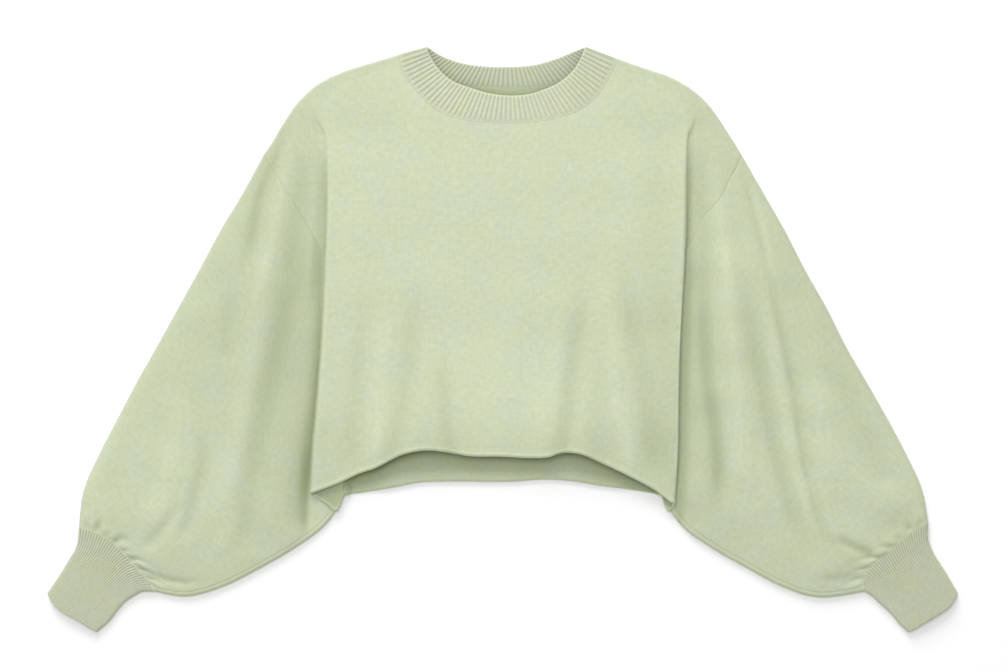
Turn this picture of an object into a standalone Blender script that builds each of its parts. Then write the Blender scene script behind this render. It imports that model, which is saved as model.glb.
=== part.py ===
# Cropped knit sweater with balloon sleeves, laid flat on its back on a table.
# Seven cut pieces, each a thin knit wall of its own: front, back, two sleeves, two ribbed cuffs
# and a ribbed neckband. X runs across the shoulders, Y from hem to neck, Z up from the table.
# Tables and sizes are in millimetres and become metres when a piece is made.
# "Outward" is the distance from the garment's middle line towards the piece's own side.

import bisect
import math

import bmesh
import bpy
import numpy as np

MM = 0.001
CLOTH = 2.2                      # thickness of the knitted wall
SEAM_GAP = 0.3                   # clearance between pieces that meet at a seam
FOLD_RADIUS = 1.25 * CLOTH       # outside radius where a flattened tube turns over its edge
FLAT = 2 * FOLD_RADIUS           # height of two layers lying on each other
FLAP_LEVEL = FLAT + SEAM_GAP     # the front's turned-under flap lies on the sleeve at this height
UNDERARM = -2.75                 # height (Y) of the underarm point
SHOULDER_POINT = 203.0           # height (Y) where the armhole seam reaches the shoulder's edge
PLAIN_ABOVE = 235.0              # above this height the front has no side fold
SIDE_SEAM = 174.4                # outward distance of the side seams
HEM_EXTRA = 0.5                  # how much the turned hem thickens the wall on the inside
TOP_SHARE = 0.72                 # share of the front's columns that lie between its folds
NECK_RIBS_FRONT = 42
NECK_RIBS_BACK = 36
CUFF_RIBS = 20                   # on the upper side; the underside rests flat
RIB_RISE = 0.8                   # ribs stand this far above the plain wall
STEP = 1e-4                      # parameter step for a surface's slope

# Rows of the front and the back, as shares of a column's height; those from the underarm to the
# shoulder point are common to both and to the sleeve's first ring, so the armhole edges match.
# They are closest where the turned-under flap changes into the open armhole.
UNDERARM_ROW = 0.3475
SHOULDER_ROW = 0.7725
ARMHOLE_HEIGHTS = (UNDERARM, 20, 42, 62, 76, 84, 89, 93, 97, 102, 109, 120, 140, 161, 182,
                   SHOULDER_POINT)
ARMHOLE_ROWS = np.interp(ARMHOLE_HEIGHTS, (UNDERARM, SHOULDER_POINT), (UNDERARM_ROW, SHOULDER_ROW))
HEM_ROWS = (0, 0.0186, 0.0225)   # the turned hem, 8 mm deep, ends between the last two


class Table:
    """Rows of sizes with named columns, read as smooth curves along the first column."""

    def __init__(self, names, *rows):
        columns = np.array(rows, dtype=float).T
        self.stations = columns[0].tolist()
        self.curves = {}
        for name, values in zip(names.split(), columns):
            slopes = np.gradient(values, columns[0])
            self.curves[name] = (values.tolist(), slopes.tolist())

    def at(self, name, station):
        stations = self.stations
        values, slopes = self.curves[name]
        k = min(max(bisect.bisect_left(stations, station) - 1, 0), len(stations) - 2)
        span = stations[k + 1] - stations[k]
        t = min(max((station - stations[k]) / span, 0.0), 1.0)
        return (values[k] * (1 + 2 * t) * (1 - t) ** 2 + values[k + 1] * t * t * (3 - 2 * t)
                + span * (slopes[k] * t * (1 - t) ** 2 - slopes[k + 1] * t * t * (1 - t)))


class Line:
    """A smooth plan curve through a few points, read by its fraction of length."""

    def __init__(self, *points):
        points = np.array(points, dtype=float)
        steps = np.hypot(*np.diff(points, axis=0).T)
        fractions = np.concatenate(([0.0], np.cumsum(steps) / steps.sum()))
        self.table = Table("fraction x y", *np.column_stack((fractions, points)))

    def at(self, fraction):
        return np.array([self.table.at("x", fraction), self.table.at("y", fraction)])


def fold_rows(names, *rows):
    """One dictionary of named sizes for each soft fold."""
    return [dict(zip(names.split(), row)) for row in rows]


# Front and back outline: armhole from the underarm up, then the shoulder up to the neckband.
ARMHOLE = Table(
    "height left right",
    (UNDERARM, SIDE_SEAM, SIDE_SEAM), (27, 179, 180), (60, 186.5, 188.5), (94, 196.5, 200.5),
    (113, 207.5, 210.5), (134, 220, 220.5), (149, 228.5, 234), (162, 236, 243.5),
    (175, 244.5, 249), (189, 253.5, 257), (SHOULDER_POINT, 262.5, 262.5))
SHOULDER = Table(
    "height left right",
    (SHOULDER_POINT, 262.5, 262.5), (219.5, 251.5, 252.5), (231, 245, 245), (243.5, 237, 237),
    (257, 228, 227), (270, 216, 214), (283.5, 198.5, 194), (290, 185.5, 180.5),
    (296.5, 169, 161), (303, 148, 142), (308.6, 129, 126.5), (313.5, 113.3, 111))

# The front's height above the table and its side folds, from hem to neck. "bend" is the radius
# of the step down from the body to the lower cloth beside it.
FRONT = Table(
    "height left_fold right_fold middle_z fold_z low_z bend",
    (-200, 209.5, 188.5, 9.5, 14.6, FLAP_LEVEL, 4.4),
    (-120, 206.5, 193, 9.5, 14.8, FLAP_LEVEL, 4.5),
    (20, 199.5, 196.5, 9.5, 14.8, FLAP_LEVEL, 4.5),
    (75, 197, 200, 9.5, 14.8, FLAP_LEVEL, 4.5),
    (94, 196, 201, 9.5, 14.6, FLAP_LEVEL, 4.5),
    (113, 194.5, 202, 9.5, 14.2, FLAT, 4.5),
    (155, 193.5, 204, 9.5, 13.2, FLAT, 4.5),
    (SHOULDER_POINT, 193, 208, 9, 11, FLAT, 12),
    (PLAIN_ABOVE, 193, 210, 8.5, 8.5, FLAT, 60),
    (257, 186, 190, 8, 8, FLAT, 60),
    (283.5, 162, 160, 7, 7, FLAT, 60),
    (296.5, 134, 128, 6.2, 6.2, FLAT, 60),
    (303, 114, 108, 5.8, 5.8, FLAT, 60),
    (313.5, 82, 92, FLAT, FLAT, FLAT, 60),
    (325, 60, 60, FLAT, FLAT, FLAT, 60))

# Hem of the front where it lies on top, from the left fold to the right one, and how far the
# free edge stands off the back.
FRONT_HEM = Table(
    "across height lift",
    (-203.5, -168, 0), (-175, -155.5, 1.5), (-161, -148.5, 3), (-141, -141.5, 5.5),
    (-110, -126, 12), (-80, -121.5, 14), (-60, -124, 12), (-40, -127.5, 10),
    (0, -128.5, 9.5), (30, -130, 10), (50, -129, 12.5), (64, -124.5, 14.5),
    (83, -125.5, 14.5), (108, -136, 10), (137, -150, 5), (170, -168, 1), (185, -179.5, 0))
# Hem of the flaps that turn under at each side, from the fold in to the side seam.
FLAP_HEM = Table(
    "fraction left right",
    (0, -168, -179.5), (0.4, -170.5, -182), (0.82, -174.5, -187.5), (0.9, -182, -188.5),
    (0.945, -187.5, -184), (1, -171, -171))
BACK_HEM = Table(
    "across height",
    (-175, -171), (-146, -167), (-119, -162), (-93, -157), (-66, -155.7), (13, -155.7),
    (46, -153.5), (79, -155.7), (105, -160), (131, -163.5), (158, -168), (175, -171))
LIFT_REACH = 95.0                # the hem's lift dies out this far up the front

# Neck seams and the edges of the opening, from the wearer's right shoulder to the left one.
FRONT_NECK_SEAM = (
    (-113.3, 313.5), (-112.8, 303), (-109.5, 293), (-103.5, 284), (-96.5, 274.5), (-86.4, 263.5),
    (-75.4, 253.6), (-56.7, 244.8), (-29, 239.3), (10.5, 237.6), (38, 239.3), (63.3, 243.7),
    (82, 250.3), (98, 260.5), (109.5, 274.5), (117, 287.5), (122, 297.5), (125.5, 304),
    (126.5, 308.6))
FRONT_OPENING = (
    (-82.5, 322), (-81.5, 317), (-77.3, 308.5), (-72.6, 300.8), (-66.5, 293.7), (-59.5, 287.6),
    (-51.7, 283), (-35.8, 277), (-16, 271), (7.2, 268), (34.7, 271), (46.8, 275.5),
    (58.6, 280.6), (66.4, 285.9), (78.3, 297.2), (83.7, 305.6), (87.3, 313.4), (91, 322))
BACK_NECK_SEAM = (
    (-113.3, 313.5), (-109, 303), (-99, 294), (-83, 286), (-62, 280), (-36, 277.5), (7, 275.5),
    (52, 277.5), (78, 283), (96, 289), (111, 297), (121, 304), (126.5, 308.6))
BACK_OPENING = (
    (-82.5, 322), (-68.8, 313), (-47.9, 305), (-19.2, 300.3), (7.2, 299.8), (34.7, 302),
    (57.8, 308.6), (78.7, 317), (91, 322))
NECK_CLEAR = 0.5                 # the panels' neck edges clear the band's curved seam edge

# Sleeves, shoulder to cuff: the two edges of the flattened sleeve, how far the upper layer
# stands off the lower one, and the width over which it rises from its edges.
SLEEVES = {
    "left": Table(
        "station outer_x outer_y inner_x inner_y loft rise",
        (0, 262.5, 203, 174.4, UNDERARM, 0, 60), (0.1, 285.5, 161, 177.1, -50, 5, 65),
        (0.2, 309.7, 120.5, 177.1, -94, 10, 70), (0.3, 332.8, 77.6, 177.1, -138, 13, 70),
        (0.4, 355.9, 35.8, 178.8, -177, 15, 70), (0.5, 379, -6, 195.3, -204, 16.5, 70),
        (0.6, 402, -46.8, 227.2, -228.3, 17.5, 70), (0.7, 424, -88.6, 266.8, -251.4, 18, 65),
        (0.8, 443.9, -127, 306.4, -271.2, 17.5, 60), (0.9, 460.4, -165.6, 346, -282.2, 15, 45),
        (1, 466, -206.3, 382.3, -277.8, 3.5, 25)),
    "right": Table(
        "station outer_x outer_y inner_x inner_y loft rise",
        (0, 262.5, 203, 174.4, UNDERARM, 0, 60), (0.1, 286.6, 161, 177.1, -50, 5, 65),
        (0.2, 309.7, 120.5, 177.1, -94, 10, 70), (0.3, 331.7, 77.6, 177.1, -138, 13, 70),
        (0.4, 355.4, 35.8, 178.2, -175, 15, 70), (0.5, 376.4, -6, 197.5, -205.2, 16.5, 70),
        (0.6, 399.9, -46.8, 228.3, -228.3, 17.5, 70), (0.7, 423.7, -88.6, 266.8, -250.3, 18, 65),
        (0.8, 443.9, -127, 306.4, -271.2, 17.5, 60), (0.9, 460.4, -163.4, 347, -283.3, 15, 45),
        (1, 468, -200.8, 397.7, -277.8, 3.5, 25)),
}
ARMHOLE_FADE = 0.4               # share of the sleeve over which the armhole's curve dies out
CUFF_FADE = 0.22                 # and the same for the cuff seam's curve
COVER_RISE = 45.0                # the sleeve rises over this width beside the body
COVER_CLEAR = 2.0                # and starts this far outside the body's fold
COVER_END = -225.0               # below this height the sleeve's inner edge lies free
COVER_FADE = 29.0
QUIET = 25.0                     # folds die out over this width along the sleeve's edges

# Cuffs: seam to the sleeve, the two long edges and the open end, in outward and Y distances.
CUFFS = {
    "left": {
        "seam": Line((466, -206.3), (441.7, -215), (421, -230.5), (407.5, -246.5),
                     (390, -265), (382.3, -277.8)),
        "outer": Line((466, -206.3), (468, -226), (477, -242.6), (487, -259), (500.5, -279)),
        "inner": Line((382.3, -277.8), (396.6, -277.5), (405.4, -282.2), (414.2, -288),
                      (423, -297.6), (431.8, -309), (446, -322)),
        "end": Line((500.5, -279), (493.4, -291), (484.6, -298.7), (467, -308.6), (446, -322)),
    },
    "right": {
        "seam": Line((468, -200.8), (449.4, -211.8), (435, -224), (424, -235), (409.8, -246),
                     (399.5, -258), (397.7, -277.8)),
        "outer": Line((468, -200.8), (467.5, -218.4), (471, -229), (485.7, -253.6), (500.5, -279)),
        "inner": Line((397.7, -277.8), (404.3, -281), (415.3, -291), (426.3, -300.9),
                      (437.3, -314), (446, -322)),
        "end": Line((500.5, -279), (492.3, -292), (470.3, -307.5), (459.3, -314), (446, -322)),
    },
}
CUFF_LOFT = 3.5
CUFF_RISE = 25.0

# Soft folds, each a trough (negative depth) or ridge between two points, bowed sideways.
FRONT_FOLDS = fold_rows(
    "top_x top_y foot_x foot_y bow depth width",
    (-118, 35, -117, -130, 2, -2.6, 13), (-139, -5, -142, -145, 0, 2.2, 11),
    (-164, 15, -168, -135, -2, -2.0, 10), (-58, -45, -56, -132, 1, -2.2, 12),
    (77, 40, 60, -132, -4, -3.2, 13), (143, 42, 163, -140, 4, -2.6, 12),
    (100, 0, 96, -140, 2, 1.8, 14))
SLEEVE_FOLDS = {
    "left": fold_rows(
        "top_x top_y foot_x foot_y bow depth width",
        (231, 205, 283, -30, 8, 3.5, 15), (226, 100, 287, -150, -8, -4.5, 12),
        (252, 60, 300, -80, 0, 2.5, 16), (334, -120, 400, -232, -16, -3.5, 10),
        (282, -150, 322, -240, -8, -3.2, 10), (372, -60, 372, -190, 10, 3, 22),
        (436, -165, 441, -205, 0, -3.5, 5), (418, -180, 427, -222, 3, -3.5, 6),
        (394, -205, 408, -240, 4, -3.2, 6), (372, -238, 398, -254, 3, -2.8, 6),
        (322, -262, 388, -268, -4, -2.4, 6)),
    "right": fold_rows(
        "top_x top_y foot_x foot_y bow depth width",
        (262, 190, 300, 0, 4, 3.5, 14), (268, 85, 303, -130, 4, -4.2, 11),
        (306, 50, 364, -215, 8, -4.2, 11), (214, 98, 256, -120, -6, -3.8, 12),
        (338, 20, 352, -120, 0, 2.5, 20), (236, -60, 262, -200, 6, 2.4, 16),
        (384, -220, 420, -240, -4, -3, 6), (412, -196, 438, -221, -3, -3.5, 6),
        (443, -172, 452, -206, 0, -3.4, 5), (352, -248, 400, -262, -4, -2.8, 6),
        (400, -120, 396, -190, 0, 3, 18)),
}


def ease(t):
    """Smooth step from 0 to 1."""
    t = min(max(t, 0.0), 1.0)
    return t * t * (3 - 2 * t)


def quarter(t):
    """Quarter circle from 0, upright, to 1, level."""
    t = min(max(t, 0.0), 1.0)
    return math.sqrt(1 - (1 - t) ** 2)


def mix(a, b, t):
    return a + (b - a) * t


def fold_relief(folds, x, y):
    """Height that a table's soft folds add at one place."""
    total = 0.0
    for fold in folds:
        from_x = x - fold["top_x"]
        from_y = y - fold["top_y"]
        run_x = fold["foot_x"] - fold["top_x"]
        run_y = fold["foot_y"] - fold["top_y"]
        length = math.hypot(run_x, run_y)
        along = (from_x * run_x + from_y * run_y) / length ** 2
        if 0 < along < 1:
            aside = (from_x * run_y - from_y * run_x) / length
            aside -= fold["bow"] * 4 * along * (1 - along)
            fade = ease(along * 3) * ease((1 - along) * 3)
            total += fold["depth"] * math.exp(-(aside / fold["width"]) ** 2) * fade
    return total


# ---- outline helpers shared by front, back and neckband

def edge_out(height, side):
    """Outward distance of a panel's side edge: side seam, armhole or shoulder."""
    if height < UNDERARM:
        return SIDE_SEAM
    if height < SHOULDER_POINT:
        return ARMHOLE.at(side, height)
    return SHOULDER.at(side, height)


def shoulder_edge(side):
    """Plan points of one shoulder's edge, from the armhole over the neckband's fold."""
    sign = -1 if side == "left" else 1
    peak = FRONT_OPENING[0] if side == "left" else FRONT_OPENING[-1]
    top = FRONT_NECK_SEAM[0][1] if side == "left" else FRONT_NECK_SEAM[-1][1]
    heights = np.linspace(SHOULDER_POINT, top, 40)
    points = [(sign * SHOULDER.at(side, h), h) for h in heights]
    return np.array(points + [peak])


SHOULDER_EDGES = (shoulder_edge("left"), shoulder_edge("right"))


def off_line(place, line):
    """Plan distance from a place to a line of points."""
    start = line[:-1]
    run = np.diff(line, axis=0)
    along = np.clip(((place - start) * run).sum(1) / (run * run).sum(1), 0, 1)
    return float(np.min(np.linalg.norm(start + run * along[:, None] - place, axis=1)))


def from_shoulder(x, y):
    """Plan distance from a place to the nearer shoulder edge."""
    return off_line(np.array((x, y)), SHOULDER_EDGES[0] if x < 0 else SHOULDER_EDGES[1])


def neck_edge(seam):
    """Plan points of a panel's neck edge, clear of the band's seam edge."""
    line = Line(*seam)
    points = np.array([line.at(f) for f in np.linspace(0, 1, 120)])
    slope = np.gradient(points, axis=0)
    slope /= np.linalg.norm(slope, axis=1)[:, None]
    return points + NECK_CLEAR * np.column_stack((slope[:, 1], -slope[:, 0]))


def top_of_column(across_at, neck):
    """Height where a column of a panel runs into the neck edge."""
    low = PLAIN_ABOVE
    high = SHOULDER.stations[-1]
    for _ in range(30):
        height = (low + high) / 2
        if height < np.interp(across_at(height), neck[:, 0], neck[:, 1]):
            low = height
        else:
            high = height
    return low


# ---- front

def side_section(height, side):
    """Section of the front from its fold's start out to its edge: outward and Z distances."""
    fold = FRONT.at(side + "_fold", height)
    top = FRONT.at("fold_z", height)
    low = FRONT.at("low_z", height)
    bend = FRONT.at("bend", height)
    edge = edge_out(height, side) - 0.2
    if height >= PLAIN_ABOVE:
        return np.array([(mix(fold, edge, t), mix(top, low, t)) for t in np.linspace(0, 1, 9)])
    drop = top - low
    reach = edge - fold
    if reach <= 0:
        radius = drop / 2
        start = fold - radius
        turn = math.pi if edge <= start else 2 * math.atan(radius / (edge - start))
        angles = np.linspace(0, turn, 17)
        arc = [(start + radius * math.sin(a), top - radius * (1 - math.cos(a))) for a in angles]
        return np.array(arc + [(edge, low)])
    radius = max(bend, drop / 2)
    turn = math.acos(1 - drop / (2 * radius))
    foot = min(radius, 0.6 * reach)
    slope = (drop - (radius + foot) * (1 - math.cos(turn))) / math.sin(turn)
    start = fold - radius * math.sin(turn)
    angles = np.linspace(0, turn, 13)
    points = [(start + radius * math.sin(a), top - radius * (1 - math.cos(a))) for a in angles]
    foot_x = points[-1][0] + slope * math.cos(turn)
    foot_z = points[-1][1] - slope * math.sin(turn)
    for a in angles:
        points.append((foot_x + foot * (math.sin(turn) - math.sin(turn - a)),
                       foot_z - foot * (math.cos(turn - a) - math.cos(turn))))
    points.append((edge, low))
    return np.array(points)


def along_section(points, fraction):
    """Point of a section, with closer spacing where it turns down."""
    runs = np.diff(points, axis=0)
    lengths = np.hypot(*runs.T)
    keep = lengths > 1e-6
    headings = np.arctan2(runs[keep, 1], runs[keep, 0])
    lengths = lengths[keep]
    points = np.vstack((points[:1], points[1:][keep]))
    turns = np.maximum(-np.diff(np.unwrap(headings), prepend=headings[0]), 0)
    weight = np.concatenate(([0.0], np.cumsum(lengths / lengths.sum() + turns * 0.9)))
    weight /= weight[-1]
    return (float(np.interp(fraction, weight, points[:, 0])),
            float(np.interp(fraction, weight, points[:, 1])))


def hem_lift(x, y):
    """Height that the front's free hem adds, fading up the panel."""
    above = (y - FRONT_HEM.at("height", x)) / LIFT_REACH
    return FRONT_HEM.at("lift", x) * (1 - ease(above)) ** 1.5


def front_level(x, y):
    """Height of the front's outer face between its side folds."""
    side = "left" if x < 0 else "right"
    middle = FRONT.at("middle_z", y)
    top = FRONT.at("fold_z", y)
    start = side_section(y, side)[0, 0]
    if abs(x) > start:
        share = (abs(x) - start) / max(edge_out(y, side) - start, 1.0)
        return mix(top, FRONT.at("low_z", y), min(share, 1.0))
    level = middle + (top - middle) * (1 - min(1.0, (start - abs(x)) / 110)) ** 2
    return level + fold_relief(FRONT_FOLDS, x, y) + hem_lift(x, y)


def front_place(column, height):
    """Plan X and Z of the front's outer face on one column (-1 to 1) at one height."""
    side = "left" if column < 0 else "right"
    sign = -1 if column < 0 else 1
    section = side_section(height, side)
    if abs(column) <= TOP_SHARE:
        x = sign * section[0, 0] * abs(column) / TOP_SHARE
        return x, front_level(x, height)
    fraction = (abs(column) - TOP_SHARE) / (1 - TOP_SHARE)
    out, z = along_section(section, fraction)
    start = sign * section[0, 0]
    relief = fold_relief(FRONT_FOLDS, start, height) + hem_lift(start, height)
    return sign * out, z + relief * (1 - ease(fraction * 4))


class Sheet:
    """Outer face of a piece as columns and rows, of plain cloth unless the piece says more."""

    def wall(self, column, row):
        return CLOTH

    def rib(self, column, row):
        return 0


class Panel(Sheet):
    """The front or the back, with columns from -1 to 1 across it."""

    def __init__(self, neck_seam, rows):
        self.neck = neck_edge(neck_seam)
        self.rows = np.array(rows)
        self.ends = {}

    def height(self, column, row):
        """Y on one column; a column at the side passes the underarm and shoulder point."""
        if column not in self.ends:
            top = top_of_column(lambda h: self.place(column, h)[0], self.neck)
            self.ends[column] = (self.hem_height(column), top)
        bottom, top = self.ends[column]
        pull = column ** 4
        knots = (bottom, mix(mix(bottom, top, UNDERARM_ROW), UNDERARM, pull),
                 mix(mix(bottom, top, SHOULDER_ROW), SHOULDER_POINT, pull), top)
        return float(np.interp(row, (0, UNDERARM_ROW, SHOULDER_ROW, 1), knots))

    def at(self, column, row):
        y = self.height(column, row)
        x, z = self.place(column, y)
        if y > SHOULDER_POINT - 2 * FOLD_RADIUS:
            z = mix(self.shoulder_z, z, quarter(from_shoulder(x, y) / FOLD_RADIUS))
        return np.array((x, y, z))

    def wall(self, column, row):
        return CLOTH + (HEM_EXTRA if row < HEM_ROWS[-1] else 0)


class Front(Panel):
    """The front, with a flap turned under at each side below the armhole."""

    side_shares = np.array((0.11, 0.22, 0.33, 0.44, 0.55, 0.66, 0.77, 0.87, 0.945, 0.982, 1))
    shoulder_z = FOLD_RADIUS + SEAM_GAP / 2

    def __init__(self):
        rows = (*HEM_ROWS, 0.07, 0.13, 0.19, 0.25, 0.30, *ARMHOLE_ROWS, 0.81, 0.86, 0.91, 0.955, 1)
        super().__init__(FRONT_NECK_SEAM, rows)
        side = TOP_SHARE + (1 - TOP_SHARE) * self.side_shares
        top = np.linspace(-TOP_SHARE, TOP_SHARE, 33)
        self.columns = np.concatenate((-side[::-1], top, side))

    def facing(self, column):
        return 1

    def place(self, column, height):
        return front_place(column, height)

    def hem_height(self, column):
        side = "left" if column < 0 else "right"
        if abs(column) > TOP_SHARE:
            return FLAP_HEM.at(side, (abs(column) - TOP_SHARE) / (1 - TOP_SHARE))
        start = side_section(FLAP_HEM.at(side, 0), side)[0, 0]
        return FRONT_HEM.at("height", start * column / TOP_SHARE)


class Back(Panel):
    """The back: flat on the table, turned up at its shoulders and side seams."""

    shoulder_z = FOLD_RADIUS - SEAM_GAP / 2
    turn_up = 9.0

    def __init__(self):
        rows = (*HEM_ROWS, 0.12, 0.235, *ARMHOLE_ROWS, 0.83, 0.91, 1)
        super().__init__(BACK_NECK_SEAM, rows)
        side = np.array((0.92, 0.95, 0.968, 0.985, 0.994, 1))
        self.columns = np.concatenate((-side[::-1], np.linspace(-0.86, 0.86, 19), side))

    def facing(self, column):
        return -1

    def place(self, column, height):
        side = "left" if column < 0 else "right"
        x = column * (edge_out(height, side) - 0.2)
        seam_share = 1 - ease((SIDE_SEAM - abs(x)) / self.turn_up)
        return x, FLAP_LEVEL * seam_share * ease((-height - 4) / 12)

    def hem_height(self, column):
        return BACK_HEM.at("height", column * SIDE_SEAM)


# ---- sleeves and cuffs

def tube_level(from_outer, from_inner, loft, rise):
    """Upper face of a flattened tube, its folded edges and the loft between them."""
    edge = quarter(from_outer / FOLD_RADIUS) * quarter(from_inner / FOLD_RADIUS)
    dome = quarter(from_outer / rise) * quarter(from_inner / rise)
    return FOLD_RADIUS * (1 + edge) + loft * dome


def tube_floor(from_outer, from_inner):
    """Lower face of a flattened tube: on the table, turned up at its folded edges."""
    edge = quarter(from_outer / FOLD_RADIUS) * quarter(from_inner / FOLD_RADIUS)
    return FOLD_RADIUS * (1 - edge)


class Sleeve(Sheet):
    """Outer face of a sleeve as rings from the armhole to the cuff."""

    def __init__(self, side):
        self.side = side
        self.sign = -1 if side == "left" else 1
        self.table = SLEEVES[side]
        self.folds = SLEEVE_FOLDS[side]
        self.armhole = np.array([(ARMHOLE.at(side, h), h) for h in ARMHOLE_HEIGHTS[::-1]])
        steps = np.hypot(*np.diff(self.armhole, axis=0).T)
        self.shares = np.concatenate(([0.0], np.cumsum(steps) / steps.sum()))
        self.cuff_seam = CUFFS[side]["seam"]
        turn = FOLD_RADIUS / steps.sum()
        ends = (0.3 * turn, turn, 1 - turn, 1 - 0.3 * turn)
        fill = [(a + b) / 2 for a, b in zip(self.shares[1:], self.shares) if a - b > 0.06]
        upper = sorted((*self.shares, *fill, *ends))
        lower = sorted((*self.shares[1:-1], *ends), reverse=True)
        self.columns = [(s, "upper") for s in upper] + [(s, "lower") for s in lower]
        self.rows = np.array((0, 0.035, 0.08, 0.135, 0.20, 0.27, 0.34, 0.42, 0.50, 0.58, 0.66,
                              0.74, 0.82, 0.89, 0.95, 1))
        self.spans = {}

    def facing(self, column):
        return self.sign * (-1 if column[1] == "lower" else 1)

    def plan(self, share, row):
        outer = np.array((self.table.at("outer_x", row), self.table.at("outer_y", row)))
        inner = np.array((self.table.at("inner_x", row), self.table.at("inner_y", row)))
        place = mix(outer, inner, share)
        start = np.array([np.interp(share, self.shares, line) for line in self.armhole.T])
        first = start - mix(self.armhole[0], self.armhole[-1], share)
        last = self.cuff_seam.at(share) - mix(self.cuff_seam.at(0), self.cuff_seam.at(1), share)
        place = place + first * (1 - ease(row / ARMHOLE_FADE))
        place = place + last * ease((row - 1 + CUFF_FADE) / CUFF_FADE)
        clear = mix(0.5, 0.2, ease(share / 0.08))     # off the body's edge, most at the shoulder
        place[0] += clear * (1 - ease(row / 0.05))
        return place

    def span(self, edge, row):
        """Distance across the sleeve, square to one of its folded edges (share 0 or 1)."""
        if (edge, row) not in self.spans:
            inward = self.plan(mix(edge, 0.5, 0.01), row) - self.plan(edge, row)
            run = self.plan(edge, row + 0.001) - self.plan(edge, row - 0.001)
            square = abs(inward[0] * run[1] - inward[1] * run[0]) / np.linalg.norm(run)
            self.spans[(edge, row)] = float(square) / 0.005
        return self.spans[(edge, row)]

    def at(self, column, row):
        share, layer = column
        out, y = self.plan(share, row)
        from_outer = share * self.span(0, row)
        from_inner = (1 - share) * self.span(1, row)
        if layer == "lower":
            return np.array((self.sign * out, y, tube_floor(from_outer, from_inner)))
        loft = self.table.at("loft", row)
        rise = self.table.at("rise", row)
        fold = FRONT.at(self.side + "_fold", y)
        beside = ease((out - fold - COVER_CLEAR) / COVER_RISE)
        covered = ease((y - COVER_END) / COVER_FADE)
        free = quarter(from_inner / rise)
        dome = quarter(from_outer / rise) * mix(free, beside, covered)
        level = tube_level(from_outer, from_inner, 0, rise) + loft * dome
        quiet = ease(row / 0.08) * ease(from_outer / QUIET)
        quiet *= mix(ease(from_inner / QUIET), beside, covered)
        level += fold_relief(self.folds, out, y) * quiet
        return np.array((self.sign * out, y, level))


class Cuff(Sheet):
    """Outer face of a cuff, ribbed above and plain where it rests."""

    def __init__(self, side):
        self.sign = -1 if side == "left" else 1
        self.lines = CUFFS[side]
        edge = 0.03
        ribs = [(edge + (1 - 2 * edge) * k / (2 * CUFF_RIBS), "upper", k % 2)
                for k in range(2 * CUFF_RIBS + 1)]
        upper = [(0, "upper", 0), (edge / 3, "upper", 0)] + ribs
        upper += [(1 - edge / 3, "upper", 0), (1, "upper", 0)]
        lower = (1 - edge / 3, 1 - edge, 0.7, 0.5, 0.3, edge, edge / 3)
        self.columns = upper + [(share, "lower", 0) for share in lower]
        self.rows = np.array((0.0065, 0.12, 0.5, 0.88, 1))

    def facing(self, column):
        return self.sign * (-1 if column[1] == "lower" else 1)

    def at(self, column, row):
        share, layer, _ = column
        outer = self.lines["outer"].at(row)
        inner = self.lines["inner"].at(row)
        seam = self.lines["seam"]
        end = self.lines["end"]
        place = mix(outer, inner, share)
        place = place + (seam.at(share) - mix(seam.at(0), seam.at(1), share)) * (1 - row)
        place = place + (end.at(share) - mix(end.at(0), end.at(1), share)) * row
        width = float(np.linalg.norm(inner - outer))
        from_outer = share * width
        from_inner = width - from_outer
        if layer == "lower":
            z = tube_floor(from_outer, from_inner)
        else:
            z = tube_level(from_outer, from_inner, CUFF_LOFT, CUFF_RISE)
        return np.array((self.sign * place[0], place[1], z))

    def rib(self, column, row):
        """Outward rise of the ribs, lower at the seam and the open end."""
        return RIB_RISE * column[2] * (0.4 if row in (self.rows[0], self.rows[-1]) else 1)


class Neckband(Sheet):
    """Outer face of the ribbed band round the neck, front half over back half."""

    def __init__(self):
        self.seams = {"front": Line(*FRONT_NECK_SEAM), "back": Line(*BACK_NECK_SEAM)}
        self.openings = {"front": Line(*FRONT_OPENING), "back": Line(*BACK_OPENING)}
        self.columns = (self.half("front", NECK_RIBS_FRONT)
                        + self.half("back", NECK_RIBS_BACK)[::-1][1:-1])
        self.rows = np.array((0, 0.15, 0.85, 1))

    def facing(self, column):
        return -1 if column[1] == "back" else 1

    def half(self, name, ribs):
        edge = 0.014
        places = [(0, name, 0), (edge / 3.5, name, 0)]
        places += [(mix(edge, 1 - edge, k / (2 * ribs)), name, k % 2) for k in range(2 * ribs + 1)]
        return places + [(1 - edge / 3.5, name, 0), (1, name, 0)]

    def at(self, column, row):
        share, name, _ = column
        x, y = mix(self.seams[name].at(share), self.openings[name].at(share), row)
        turn = quarter(from_shoulder(x, y) / FOLD_RADIUS)
        if name == "back":
            return np.array((x, y, FOLD_RADIUS * (1 - turn)))
        return np.array((x, y, mix(FOLD_RADIUS, front_level(x, y), turn)))

    def wall(self, column, row):
        """The back half's ribs show on its inner side, which faces up."""
        inner_rib = RIB_RISE * column[2] if column[1] == "back" else 0
        return CLOTH + inner_rib

    def rib(self, column, row):
        return RIB_RISE * column[2] if column[1] == "front" else 0


# ---- walls

def step_column(column, change):
    """A neighbouring place on the same layer, within the sheet."""
    if isinstance(column, tuple):
        share = column[0] + change
        return (share,) + column[1:] if 0 <= share <= 1 else None
    share = column + change
    return share if -1 <= share <= 1 else None


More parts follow.
